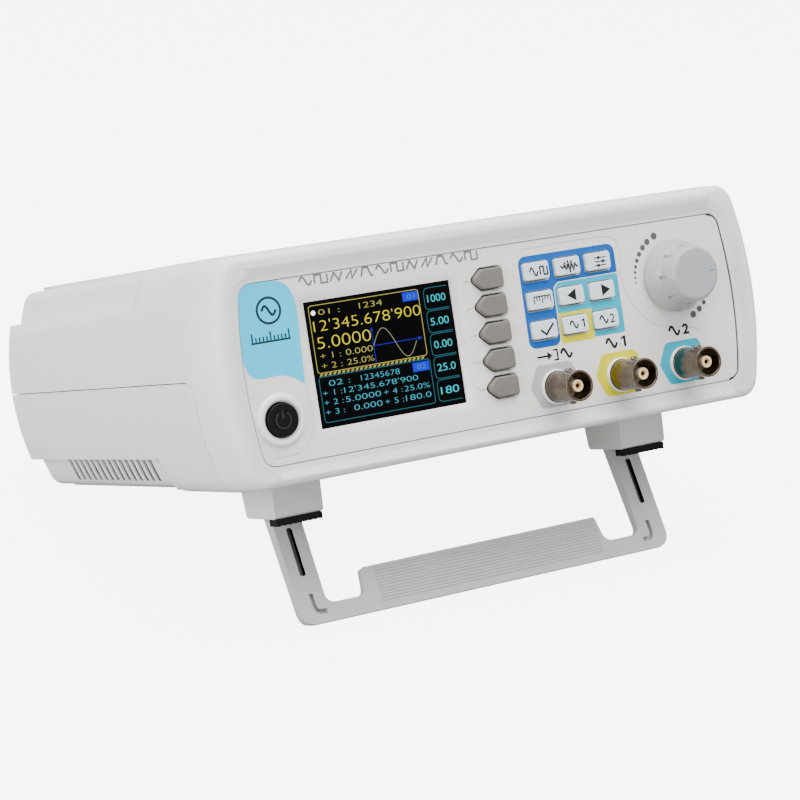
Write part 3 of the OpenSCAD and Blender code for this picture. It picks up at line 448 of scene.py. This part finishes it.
def oblong(x0, x1, y0, y1, radius=0.0):
    return rounded([(x0, y0), (x1, y0), (x1, y1), (x0, y1)], radius)


def disc(x, y, radius, sides):
    return [(x + radius * cos(tau * i / sides), y + radius * sin(tau * i / sides))
            for i in range(sides)]


def smooth_run(points, steps=6):
    """Points of an even curve through the given ones."""
    run = []
    ends = [points[0], *points, points[-1]]
    for four in zip(ends, ends[1:], ends[2:], ends[3:]):
        for t in (step / steps for step in range(steps)):
            run.append(tuple(0.5 * (2 * q + (r - p) * t + (2 * p - 5 * q + 4 * r - s) * t * t
                                    + (3 * q - p - 3 * r + s) * t ** 3)
                             for p, q, r, s in zip(*four)))
    return [*run, points[-1]]


def ribbon(points, width):
    """The closed outline of a line of this width, its sharp turns cut short."""
    left, right = [], []
    for i, point in enumerate(points):
        here = Vector(point)
        ahead = Vector(points[min(i + 1, len(points) - 1)]) - here
        behind = here - Vector(points[max(i - 1, 0)])
        ahead = (ahead if ahead.length else behind).normalized()
        behind = (behind if behind.length else ahead).normalized()
        side = (ahead + behind).normalized()
        offset = Vector((-side.y, side.x)) * (width / 2 / max(0.45, side.dot(ahead)))
        left.append(tuple(here + offset))
        right.append(tuple(here - offset))
    return left + right[::-1]


def shifted(outlines, x, y):
    """The same outlines, moved."""
    return [[(x + u, y + v) for u, v in outline] for outline in outlines]


def put(piece, plane, depth, material, body):
    """Closes the mesh, applies its place, and gives it its finish and its body."""
    only(piece)
    bpy.ops.object.mode_set(mode="EDIT")
    bpy.ops.mesh.select_all(action="SELECT")
    bpy.ops.mesh.remove_doubles(threshold=0.0005)
    bpy.ops.mesh.normals_make_consistent(inside=False)
    bpy.ops.object.mode_set(mode="OBJECT")
    piece.matrix_world = plane @ Matrix.Translation((0, 0, depth))
    bpy.ops.object.transform_apply(location=True, rotation=True, scale=True)
    piece.data.materials.clear()
    if material:
        piece.data.materials.append(material)
    if body:
        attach(piece, body)
    return piece


def plate(name, outlines, front, thick, material=None, body="case", plane=PANEL):
    """Thin plates with these outlines; an outline inside another is a hole."""
    curve = bpy.data.curves.new(name, "CURVE")
    curve.dimensions, curve.fill_mode, curve.extrude = "2D", "BOTH", thick / 2
    for outline in outlines:
        spline = curve.splines.new("POLY")
        spline.points.add(len(outline) - 1)
        for point, (x, y) in zip(spline.points, outline):
            point.co = (x, y, 0, 1)
        spline.use_cyclic_u = True
    made = bpy.data.objects.new(name, curve)
    bpy.context.collection.objects.link(made)
    only(made)
    bpy.ops.object.convert(target="MESH")
    return put(bpy.context.object, plane, front - thick / 2, material, body)


def figures(name, lines, front, thick, material, body="case", weight=0.0):
    """Rows of plain figures, each drawn out to fill its box of (x0, x1, y0, y1)."""
    made = []
    for words, (x0, x1, y0, y1) in lines:
        only()
        bpy.ops.object.text_add(location=(0, 0, 0))
        text = bpy.context.object
        text.data.body, text.data.extrude, text.data.offset = words, thick / 2, weight
        bpy.ops.object.convert(target="MESH")
        text = bpy.context.object
        low = Vector(min(v.co[i] for v in text.data.vertices) for i in (0, 1))
        high = Vector(max(v.co[i] for v in text.data.vertices) for i in (0, 1))
        stretch = Vector(((x1 - x0) / (high.x - low.x), (y1 - y0) / (high.y - low.y)))
        text.scale = (stretch.x, stretch.y, 1)
        text.location = (x0 - low.x * stretch.x, y0 - low.y * stretch.y, 0)
        bpy.ops.object.transform_apply(location=True, rotation=True, scale=True)
        made.append(text)
    only(*made)
    if len(made) > 1:
        bpy.ops.object.join()
    row = bpy.context.object
    row.name = name
    return put(row, PANEL, front - thick / 2, material, body)


def cut(name, outlines, face, deep, proud=0.5, plane=PANEL):
    """Sinks these outlines into a stand-in, from its face; the cutter stands proud of it."""
    cutter = plate("cutter", outlines, face + proud, deep + proud, None, None, plane)
    only(stand_in[name])
    saw = stand_in[name].modifiers.new("cut", "BOOLEAN")
    saw.object, saw.operation, saw.solver = cutter, "DIFFERENCE", "EXACT"
    bpy.ops.object.modifier_apply(modifier=saw.name)
    bpy.data.objects.remove(cutter)


def waves(kind, x, y, w, h, width):
    """The outline of a small wave sign, about x and y."""
    shapes = {
        "sine": [(t / 24 - 0.5, 0.5 * sin(tau * t / 24)) for t in range(25)],
        "square": [(-0.5, -0.5), (-0.5, 0.5), (0, 0.5), (0, -0.5), (0.5, -0.5), (0.5, 0.5)],
        "triangle": [(-0.5, -0.5), (-0.17, 0.5), (0.17, -0.5), (0.5, 0.5)],
        "ramp": [(-0.5, -0.5), (0, 0.5), (0, -0.5), (0.5, 0.5)],
        "trapeze": [(-0.5, -0.5), (-0.3, 0.5), (0.1, 0.5), (0.3, -0.5), (0.5, -0.5)],
        "burst": [(t / 60 - 0.5, 0.5 * sin(tau * 5 * t / 60) * sin(pi * t / 60))
                  for t in range(61)],
    }
    return ribbon([(x + w * u, y + h * v) for u, v in shapes[kind]], width)


def one(x, y, h, w):
    """A plain figure 1, its foot's left end at x and y."""
    return [(x, y), (x + w, y), (x + w, y + h), (x + 0.2 * w, y + h),
            (x - 1.3 * w, y + 0.78 * h), (x - 0.9 * w, y + 0.68 * h), (x, y + 0.78 * h)]


# ---- front panel: its shallow lines, cut in ----
FACE = 0.0
KEY_LINE = smooth_run([
    (10.8, 23.3), (25.5, 23.6), (40.3, 23.5), (44.6, 22.6), (46.5, 19.9), (45.9, 12.5),
    (46.3, 7.5), (47.7, 2.9), (50, -0.9), (52.5, -3.8), (56, -6.2), (60.7, -7.8), (66, -8.5),
    (70.5, -9.5), (72.8, -11)])
POWER_LINE = smooth_run([
    (-68.1, -6.4), (-67.6, -10.6), (-67.6, -16.6), (-68.7, -20.8), (-71.3, -24.2),
    (-74.8, -25.5), (-81.5, -25.7)])
for line in (KEY_LINE, POWER_LINE):
    cut("front_panel", [ribbon(line, 0.4)], FACE, 0.25)

SIDE_BOW = 143        # the radius of the panel's bowed sides


def panel_edge(z, most):
    """How far out a line along the panel's bowed side is at this height, if at most this far."""
    return most - (z - PANEL_Z) ** 2 / (2 * SIDE_BOW)


# the panel's stepped right edge, with a dark strip at the bottom of its groove that is painted
# shadow
EDGE_LINE = smooth_run([
    (81.2, 25.55), (83.3, 25.0), (84.8, 23.5),
    *[(panel_edge(z, 87.15), z) for z in range(21, -24, -4)],
    (84.8, -25.8), (83.3, -27.3), (81.2, -27.85)])
cut("front_panel", [ribbon(EDGE_LINE, 0.9)], FACE, 1.1)
# a strip in the charcoal finish: painted shadow that darkens the groove
plate("panel_edge_painted_shadow", [ribbon(EDGE_LINE, 0.84)], FACE - 0.45, 0.3, rear_abs)


def key_gap(number, spare=0.0):
    """The outline of the relief round a pad key, or of the hole that it needs in a print."""
    x, z = KEY[number]
    return oblong(x - 4.7 - spare, x + 4.7 + spare, z - 3.25 - spare, z + 3.0 + spare,
                  0.9 + spare)


# the relief round the keys, which shows as a dark line
reliefs = [key_gap(number) for number in KEY]
reliefs += [rounded([(-9.05, z), (-4.8, z - 3.75), (3.2, z - 3.75), (3.2, z + 3.75),
                     (-4.8, z + 3.75)], [1.6, 1.6, 1.2, 1.2, 1.6]) for z in SOFT_KEY_Z]
cut("front_panel", reliefs, FACE, 1.3)

# ---- front panel: coloured prints ----
INK_PROUD = 0.03
INK_THICK = 0.05


def printed(name, outlines, tint, over=0.0):
    """An ink film on the panel, or over another film."""
    return plate(name, outlines, FACE + INK_PROUD + over, INK_THICK, tint)


def holes(*numbers):
    return [key_gap(number, 0.05) for number in numbers]


LABEL_SIDE = 87.25
LABEL_CORNER = 4.2
corner_x = -panel_edge(21, LABEL_SIDE) + LABEL_CORNER
label = [
    (-80.6, 25.65), (-73.9, 25.65),
    *smooth_run([(-73.9, 25.65), (-70.4, 24.3), (-68.4, 21.4), (-67.5, 16), (-67.9, 7.2),
                 (-68.2, -0.2), (-68.5, -5.8)]),
    *smooth_run([(-68.5, -5.8), (-71.4, -3.6), (-76, -2.0), (-82, -2.2), (-85.6, -0.7),
                 (-panel_edge(3.6, LABEL_SIDE), 3.6)]),
    *[(-panel_edge(z, LABEL_SIDE), z) for z in (6, 9, 12, 15, 18, 20)],
    *[(corner_x - LABEL_CORNER * cos(a), 21.45 + LABEL_CORNER * sin(a))
      for a in (radians(d) for d in range(0, 91, 15))]]
printed("label_print", [label], cyan_ink)
blue_zone = rounded([(9.2, 21.2), (44.5, 21.2), (44.6, 12.0), (22.3, 11.9), (20.6, 10.4),
                     (20.5, -7.4), (9.1, -7.4)], [2.6, 2.6, 0.6, 2.0, 1.5, 2.2, 2.6])
printed("blue_zone_print", [blue_zone, *holes(1, 2, 3, 4, 7)], blue_ink)
sky_zone = rounded([(20.9, 2.15), (20.9, 10.2), (22.6, 11.6), (44.5, 11.7), (44.5, -6.9),
                    (33.2, -6.9), (33.2, 2.15)], [0.3, 1.8, 1.8, 0.6, 0.8, 0.3, 0.3])
printed("sky_zone_print", [sky_zone, *holes(5, 6, 9)], sky_ink)
printed("yellow_zone_print", [oblong(20.8, 33.0, -7.3, 2.1, 0.7), *holes(8)], yellow_ink)

# a six-sided zone round each jack's collar
for name, x, tint in zip(("input", "output_1", "output_2"), JACK_X,
                         (grey_ink, yellow_ink, sky_ink)):
    low, high = JACK_Z - 6.1, JACK_Z + 7.3
    corners = [(x - 9.3, JACK_Z + 0.6), (x - 6.2, low), (x + 6.2, low), (x + 9.3, JACK_Z + 0.6),
               (x + 6.2, high), (x - 6.2, high)]
    printed(name + "_zone_print",
            [rounded(corners, [1.2, 2, 2, 1.2, 2, 2]), disc(x, JACK_Z, 5.46, 48)], tint)

# dots round the knob that grow towards both ends of its scale: degrees and radius of each
DOTS = [(111, 1.14), (124, 1.04), (134, 0.94), (144, 0.82), (153, 0.71), (161, 0.6),
        (168, 0.5), (175, 0.41), (181, 0.33), (-67, 1.14), (-55, 0.98), (-44, 0.78),
        (-34, 0.52)]
DOT_RING = 14.3
printed("knob_dots_print", [disc(KNOB_X + DOT_RING * cos(radians(turn)),
                                 KNOB_Z + DOT_RING * sin(radians(turn)), radius, 20)
                            for turn, radius in DOTS], dot_ink)

# a row of plain wave signs where the title would be
ROW = ["sine", "square", "triangle", "ramp", "trapeze", "sine", "square", "triangle", "ramp",
       "trapeze", "sine", "square"]
printed("wave_row_print", [waves(kind, -63.4 + 5.15 * i, 24.0, 4.2, 2.5, 0.6)
                           for i, kind in enumerate(ROW)], text_ink)

# on the label: a source sign (a circle round a sine) and a plain scale
source = [disc(-76.6, 17.2, 4.1, 56), disc(-76.6, 17.2, 3.4, 56),
          waves("sine", -76.6, 17.2, 4.6, 2.8, 0.75)]
ticks = [oblong(x - 0.24, x + 0.24, 8.6, 11.2 if i % 5 == 0 else 9.9)
         for i, x in enumerate(-83.2 + 1.2 * i for i in range(11))]
scale_line = oblong(-83.6, -70.8, 8.0, 8.55)
printed("label_sign_print", [*source, *ticks, scale_line], dark_ink, INK_PROUD)

# above the jacks: a sign for the way in, and the two outputs' numbers
arrow = [(11.2, -10.5), (15.0, -10.5), (15.0, -11.5), (16.7, -10.2), (15.0, -8.9),
         (15.0, -9.9), (11.2, -9.9)]
bracket = [(17.2, -12.0), (18.9, -12.0), (18.9, -8.4), (17.2, -8.4), (17.2, -8.9),
           (18.35, -8.9), (18.35, -11.5), (17.2, -11.5)]
printed("input_sign_print", [arrow, bracket, waves("sine", 21.9, -10.2, 4.0, 2.7, 0.8)],
        black_ink)
printed("output_1_sign_print",
        [waves("sine", 38.8, -9.7, 4.0, 2.8, 0.8), one(43.3, -11.4, 3.4, 0.85)], black_ink)
printed("output_2_sign_print", [waves("sine", 62.8, -9.3, 4.0, 2.8, 0.8)], black_ink)
figures("output_2_number_print", [("2", (66.0, 68.4, -11.0, -7.6))], FACE + INK_PROUD,
        INK_THICK, black_ink, weight=0.035)


# ---- key signs, each about its key's middle ----
def slider(z, block):
    """A line with a block on it."""
    top, end = z + 0.35, block + 0.9
    return [(-1.65, z), (block, z), (block, z - 0.3), (end, z - 0.3), (end, z), (2.75, z),
            (2.75, top), (end, top), (end, top + 0.3), (block, top + 0.3), (block, top),
            (-1.65, top)]


def ruler(x0, z_top, pitch, count, width):
    """A comb of short and long ticks under a line."""
    outline = [(x0 + pitch * (count - 1) + width, z_top), (x0, z_top)]
    for i in range(count):
        x, low = x0 + pitch * i, z_top - (2.4 if i % 3 == 0 else 1.5)
        outline += [(x, low), (x + width, low)]
        if i < count - 1:
            outline += [(x + width, z_top - width), (x + pitch, z_top - width)]
    return outline


KEY_INK = front_of("pad_key_1") + 0.02
KEY_INK_THICK = 0.04
SIGNS = {
    1: [waves("sine", -1.25, -0.2, 2.9, 2.6, 0.55), waves("square", 2.35, -0.2, 2.6, 2.5, 0.55)],
    2: [waves("burst", 0.3, -0.2, 6.4, 3.4, 0.5)],
    3: [slider(0.85, -0.45), slider(-0.35, 1.05), slider(-1.55, -0.65)],
    4: [ruler(-2.75, 1.4, 0.98, 7, 0.4)],
    5: [[(-1.9, 0), (1.3, 1.9), (1.3, -1.9)]],
    6: [[(2.75, 0), (-0.45, 1.9), (-0.45, -1.9)]],
    7: [ribbon([(-1.75, 0), (0.05, -1.6), (3.05, 1.6)], 0.7)],
    8: [waves("sine", -0.9, 0, 3.0, 2.3, 0.55), one(2.5, -1.3, 2.7, 0.55)],
    9: [waves("sine", -1.15, 0, 3.0, 2.3, 0.55)],
}
ARROW_KEYS = (5, 6)
for number, sign in SIGNS.items():
    plate(f"pad_key_{number}_print", shifted(sign, *KEY[number]), KEY_INK, KEY_INK_THICK,
          black_ink if number in ARROW_KEYS else dark_ink, f"pad_key_{number}")
x, z = KEY[9]
figures("pad_key_9_number", [("2", (x + 1.05, x + 2.85, z - 1.4, z + 1.4))], KEY_INK,
        KEY_INK_THICK, dark_ink, "pad_key_9", 0.01)

# ---- power sign: it fills the ring sunk in the button, with a bar through its gap at the top ----
RING = 2.4
RING_WIDTH = 0.6
BUTTON_TOP = front_of("power_button")
GAP = radians(32)


def part_ring(start, end, steps):
    """A stretch of the ring, its angles from straight up."""
    angles = (start + (end - start) * i / steps for i in range(steps + 1))
    return ribbon([(POWER_X + RING * sin(a), POWER_Z + RING * cos(a)) for a in angles],
                  RING_WIDTH)


plate("power_sign_ring", [part_ring(GAP, tau - GAP, 48)], BUTTON_TOP + 0.015, 0.21, symbol_ink,
      "power_button")
plate("power_sign_gap", [part_ring(-GAP, GAP, 12)], BUTTON_TOP, 0.2, button_abs, "power_button")
plate("power_sign_bar",
      [oblong(POWER_X - 0.28, POWER_X + 0.28, POWER_Z + 0.3, POWER_Z + 3.1, 0.25)],
      BUTTON_TOP + 0.02, 0.04, symbol_ink, "power_button")

# ---- display: what it shows, in fractions of the picture from its top left ----
PICTURE_WIDE = 48.96
PICTURE_HIGH = 36.72
GLASS = front_of("display_glass")
LAYER = 0.01
LIT_THICK = 0.02


def at(u, v):
    """A point of the picture, as x and z on the panel."""
    return SCREEN_X + PICTURE_WIDE * (u - 0.5), SCREEN_Z + PICTURE_HIGH * (0.5 - v)


def box_at(u0, u1, v0, v1):
    (x0, z1), (x1, z0) = at(u0, v0), at(u1, v1)
    return x0, x1, z0, z1


def frame_line(u0, u1, v0, v1, radius=1.0, width=0.22):
    """A thin round-cornered frame."""
    x0, x1, z0, z1 = box_at(u0, u1, v0, v1)
    return [oblong(x0, x1, z0, z1, radius),
            oblong(x0 + width, x1 - width, z0 + width, z1 - width, radius - width)]


def shown(name, outlines, material, layer=0):
    return plate(name, outlines, GLASS + LIT_THICK + LAYER * layer, LIT_THICK, material)


def shown_figures(name, lines, material, layer=1, weight=0.0):
    return figures(name, [(words, box_at(*box)) for words, box in lines],
                   GLASS + LIT_THICK + LAYER * layer, LIT_THICK, material, weight=weight)


shown("upper_screen_frame", frame_line(0.025, 0.79, 0.02, 0.572), lit_dim_yellow)
shown("lower_screen_frame", frame_line(0.025, 0.80, 0.598, 0.972), lit_steel_blue)
left, _, low, high = box_at(0.035, 0.785, 0.576, 0.594)
shown("screen_divider", [[(x, low), (x + 0.8, low), (x + 1.3, high), (x + 0.5, high)]
                         for x in (left + 1.5 * i for i in range(24))], lit_dim_yellow)
shown("screen_marker", [disc(*at(0.056, 0.082), 0.72, 24)], lit_white)
shown("upper_screen_badge", [oblong(*box_at(0.675, 0.785, 0.035, 0.108))], lit_blue)
shown("lower_screen_badge", [oblong(*box_at(0.675, 0.79, 0.615, 0.69))], lit_blue)
shown_figures("screen_badge_figures", [
    ("01", (0.705, 0.76, 0.052, 0.093)), ("02", (0.705, 0.765, 0.632, 0.673))],
    lit_light_blue, 2)
shown_figures("upper_screen_small_figures", [
    ("01 :", (0.09, 0.235, 0.062, 0.105)), ("1234", (0.37, 0.53, 0.058, 0.105)),
    ("+ 1 :", (0.06, 0.20, 0.412, 0.460)), ("0.000", (0.235, 0.42, 0.412, 0.460)),
    ("+ 2 :", (0.06, 0.20, 0.492, 0.540)), ("25.0%", (0.235, 0.42, 0.492, 0.540))],
    lit_dim_yellow, 1, -0.012)
shown_figures("upper_screen_large_figures", [
    ("12'345.678'900", (0.045, 0.785, 0.147, 0.236)), ("5.0000", (0.05, 0.42, 0.282, 0.374))],
    lit_yellow, 1, -0.02)
shown_figures("lower_screen_figures", [
    ("02 :", (0.09, 0.235, 0.637, 0.682)), ("12345678", (0.31, 0.58, 0.637, 0.682)),
    ("+ 1 :", (0.04, 0.17, 0.712, 0.757)), ("12'345.678'900", (0.185, 0.70, 0.712, 0.757)),
    ("+ 2 :", (0.04, 0.17, 0.788, 0.833)), ("5.0000", (0.185, 0.43, 0.788, 0.833)),
    ("+ 4 :", (0.45, 0.58, 0.788, 0.833)), ("25.0%", (0.595, 0.775, 0.788, 0.833)),
    ("+ 3 :", (0.04, 0.17, 0.866, 0.911)), ("0.000", (0.235, 0.43, 0.866, 0.911)),
    ("+ 5 :", (0.45, 0.58, 0.866, 0.911)), ("180.0", (0.595, 0.775, 0.866, 0.911))],
    lit_teal, 1, -0.012)

# the two axes with their arrow heads, and the wave on them
LINE = 0.11           # half the width of an axis
HEAD = 0.55           # half the width of an arrow head
zero_x, zero_z = at(0.43, 0.42)
(head_x, foot_z), (tip_x, neck_z), tip_z = at(0.745, 0.56), at(0.772, 0.30), at(0, 0.27)[1]
shown("screen_axes", [[
    (zero_x - LINE, foot_z), (zero_x + LINE, foot_z), (zero_x + LINE, zero_z - LINE),
    (head_x, zero_z - LINE), (head_x, zero_z - HEAD), (tip_x, zero_z), (head_x, zero_z + HEAD),
    (head_x, zero_z + LINE), (zero_x + LINE, zero_z + LINE), (zero_x + LINE, neck_z),
    (zero_x + HEAD, neck_z), (zero_x, tip_z), (zero_x - HEAD, neck_z),
    (zero_x - LINE, neck_z)]], lit_violet)
shown("screen_wave", [ribbon([(zero_x + 14.6 * t, zero_z + 4.8 * sin(tau * t * 0.98))
                              for t in (i / 48 for i in range(49))], 0.2)], lit_grey, 1)

# the column of tabs beside the soft keys, with their readings
TAB_PITCH = 0.191
tabs = []
for i in range(5):
    x0, x1, z0, z1 = box_at(0.825, 0.992, 0.022 + TAB_PITCH * i, 0.018 + TAB_PITCH * (i + 1))
    tabs.append(ribbon(smooth_run([
        (x1, z1 - 0.2), (x0 + 1.4, z1 - 0.2), (x0 + 0.5, z1 - 0.6), (x0, z1 - 1.6),
        (x0, z0 + 1.2), (x0 + 0.5, z0 + 0.5), (x0 + 1.4, z0 + 0.15), (x1, z0 + 0.15)], 3), 0.2))
shown("screen_tabs", tabs, lit_steel_blue)
shown_figures("screen_tab_figures", [
    (words, (0.845, 0.975, 0.085 + TAB_PITCH * i, 0.147 + TAB_PITCH * i))
    for i, words in enumerate(("1000", "5.00", "0.00", "25.0", "180"))], lit_cyan)

# ---- bail: fine grooves along its bar, and a slot down each leg and round each corner, with a grey plate of painted shade at the back of each leg slot ----
BAIL_PROUD = 0.3
GROOVE = 0.22         # half the width of a groove
SIDES = (-1, 1)
LEG_SLOT_X = 63.0
grooves = [oblong(-39.5, 42.6, y - GROOVE, y + GROOVE)
           for y in (-(29.0 + 0.98 * i) for i in range(12))]
leg_slots = [oblong(side * LEG_SLOT_X - 1.0, side * LEG_SLOT_X + 1.0, -26.7, -10.8, 0.95)
             for side in SIDES]
slot_painted_shade_plates = [oblong(side * LEG_SLOT_X - 0.78, side * LEG_SLOT_X + 0.78, -26.45, -11.05)
              for side in SIDES]
corner_slots = [ribbon(smooth_run([(side * 62.4, -32.6), (side * 62.3, -36.8),
                                   (side * 61.4, -38.4), (side * 58.6, -38.8)], 4), 1.5)
                for side in SIDES]
# grey plates at the backs of the leg slots: painted shade
plate("leg_slot_painted_shade_plates", slot_painted_shade_plates, BAIL_FRONT - 1.7, 1.5, painted_slot_shade_abs, BODY["tilt_bail"], BAIL)
for outlines, deep in ((grooves, 0.3), (leg_slots, 3.0), (corner_slots, 2.0)):
    cut("tilt_bail", outlines, BAIL_FRONT, deep, BAIL_PROUD, BAIL)

# ---- case: a dark insert in each vent slot, a little below the surface, as painted shade in the slots ----
VENT_MIDDLE = 103.5
VENT_PITCH = 4.96
VENT_COUNT = 15
PAINTED_SHADE_WIDE = 2.9
painted_shade_side = [(-91.9, -23.6), (-90.85, -27.7), (-89.65, -30.9), (-89.0, -31.2),
               (-88.5, -30.4), (-89.7, -27.3), (-90.7, -23.6)]
painted_shades = []
for i in range(VENT_COUNT):
    y = VENT_MIDDLE + VENT_PITCH * (i - VENT_COUNT // 2)
    for side in SIDES:
        # the dark nylon colour here is painted shade
        painted_shades.append(plate("vent_painted_shade", [[(side * x, z) for x, z in painted_shade_side]],
                             PAINTED_SHADE_WIDE / 2 - y, PAINTED_SHADE_WIDE, dark_nylon, None))
only(*painted_shades)
bpy.ops.object.join()
vent_painted_shades = bpy.context.object
vent_painted_shades.name = "vent_painted_shades"
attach(vent_painted_shades, "case")

# ---- knob: a short pointer line cut in its face, near the edge ----
pointer = oblong(KNOB_X + 4.9, KNOB_X + 6.9, KNOB_Z - 0.25, KNOB_Z + 0.25, 0.23)
cut("adjust_knob", [pointer], front_of("adjust_knob"), 0.3)

# ---- the small roundings of the real mouldings, once everything is cut ----
for name, piece in stand_in.items():
    soften(piece, EDGES[name], 3 if name.startswith("soft_key") else 2)

# ---- floor: a lit white table, whose glow shows on the table and is kept off the object ----
bpy.ops.mesh.primitive_grid_add(x_subdivisions=4, y_subdivisions=4, size=12, location=(0, 0, 0))
floor = bpy.context.object
floor.name = "paper_floor"
floor_paper, _, floor_shader, _ = finish("matt_white_paper", "#8C8C8C", 0.9)
floor_shader.inputs["Emission Color"].default_value = (1, 1, 1, 1)
floor_shader.inputs["Emission Strength"].default_value = 6.5
floor.data.materials.append(floor_paper)
lit_by_table = bpy.data.collections.new("lit_by_table")
lit_by_table.objects.link(floor)
floor.light_linking.receiver_collection = lit_by_table
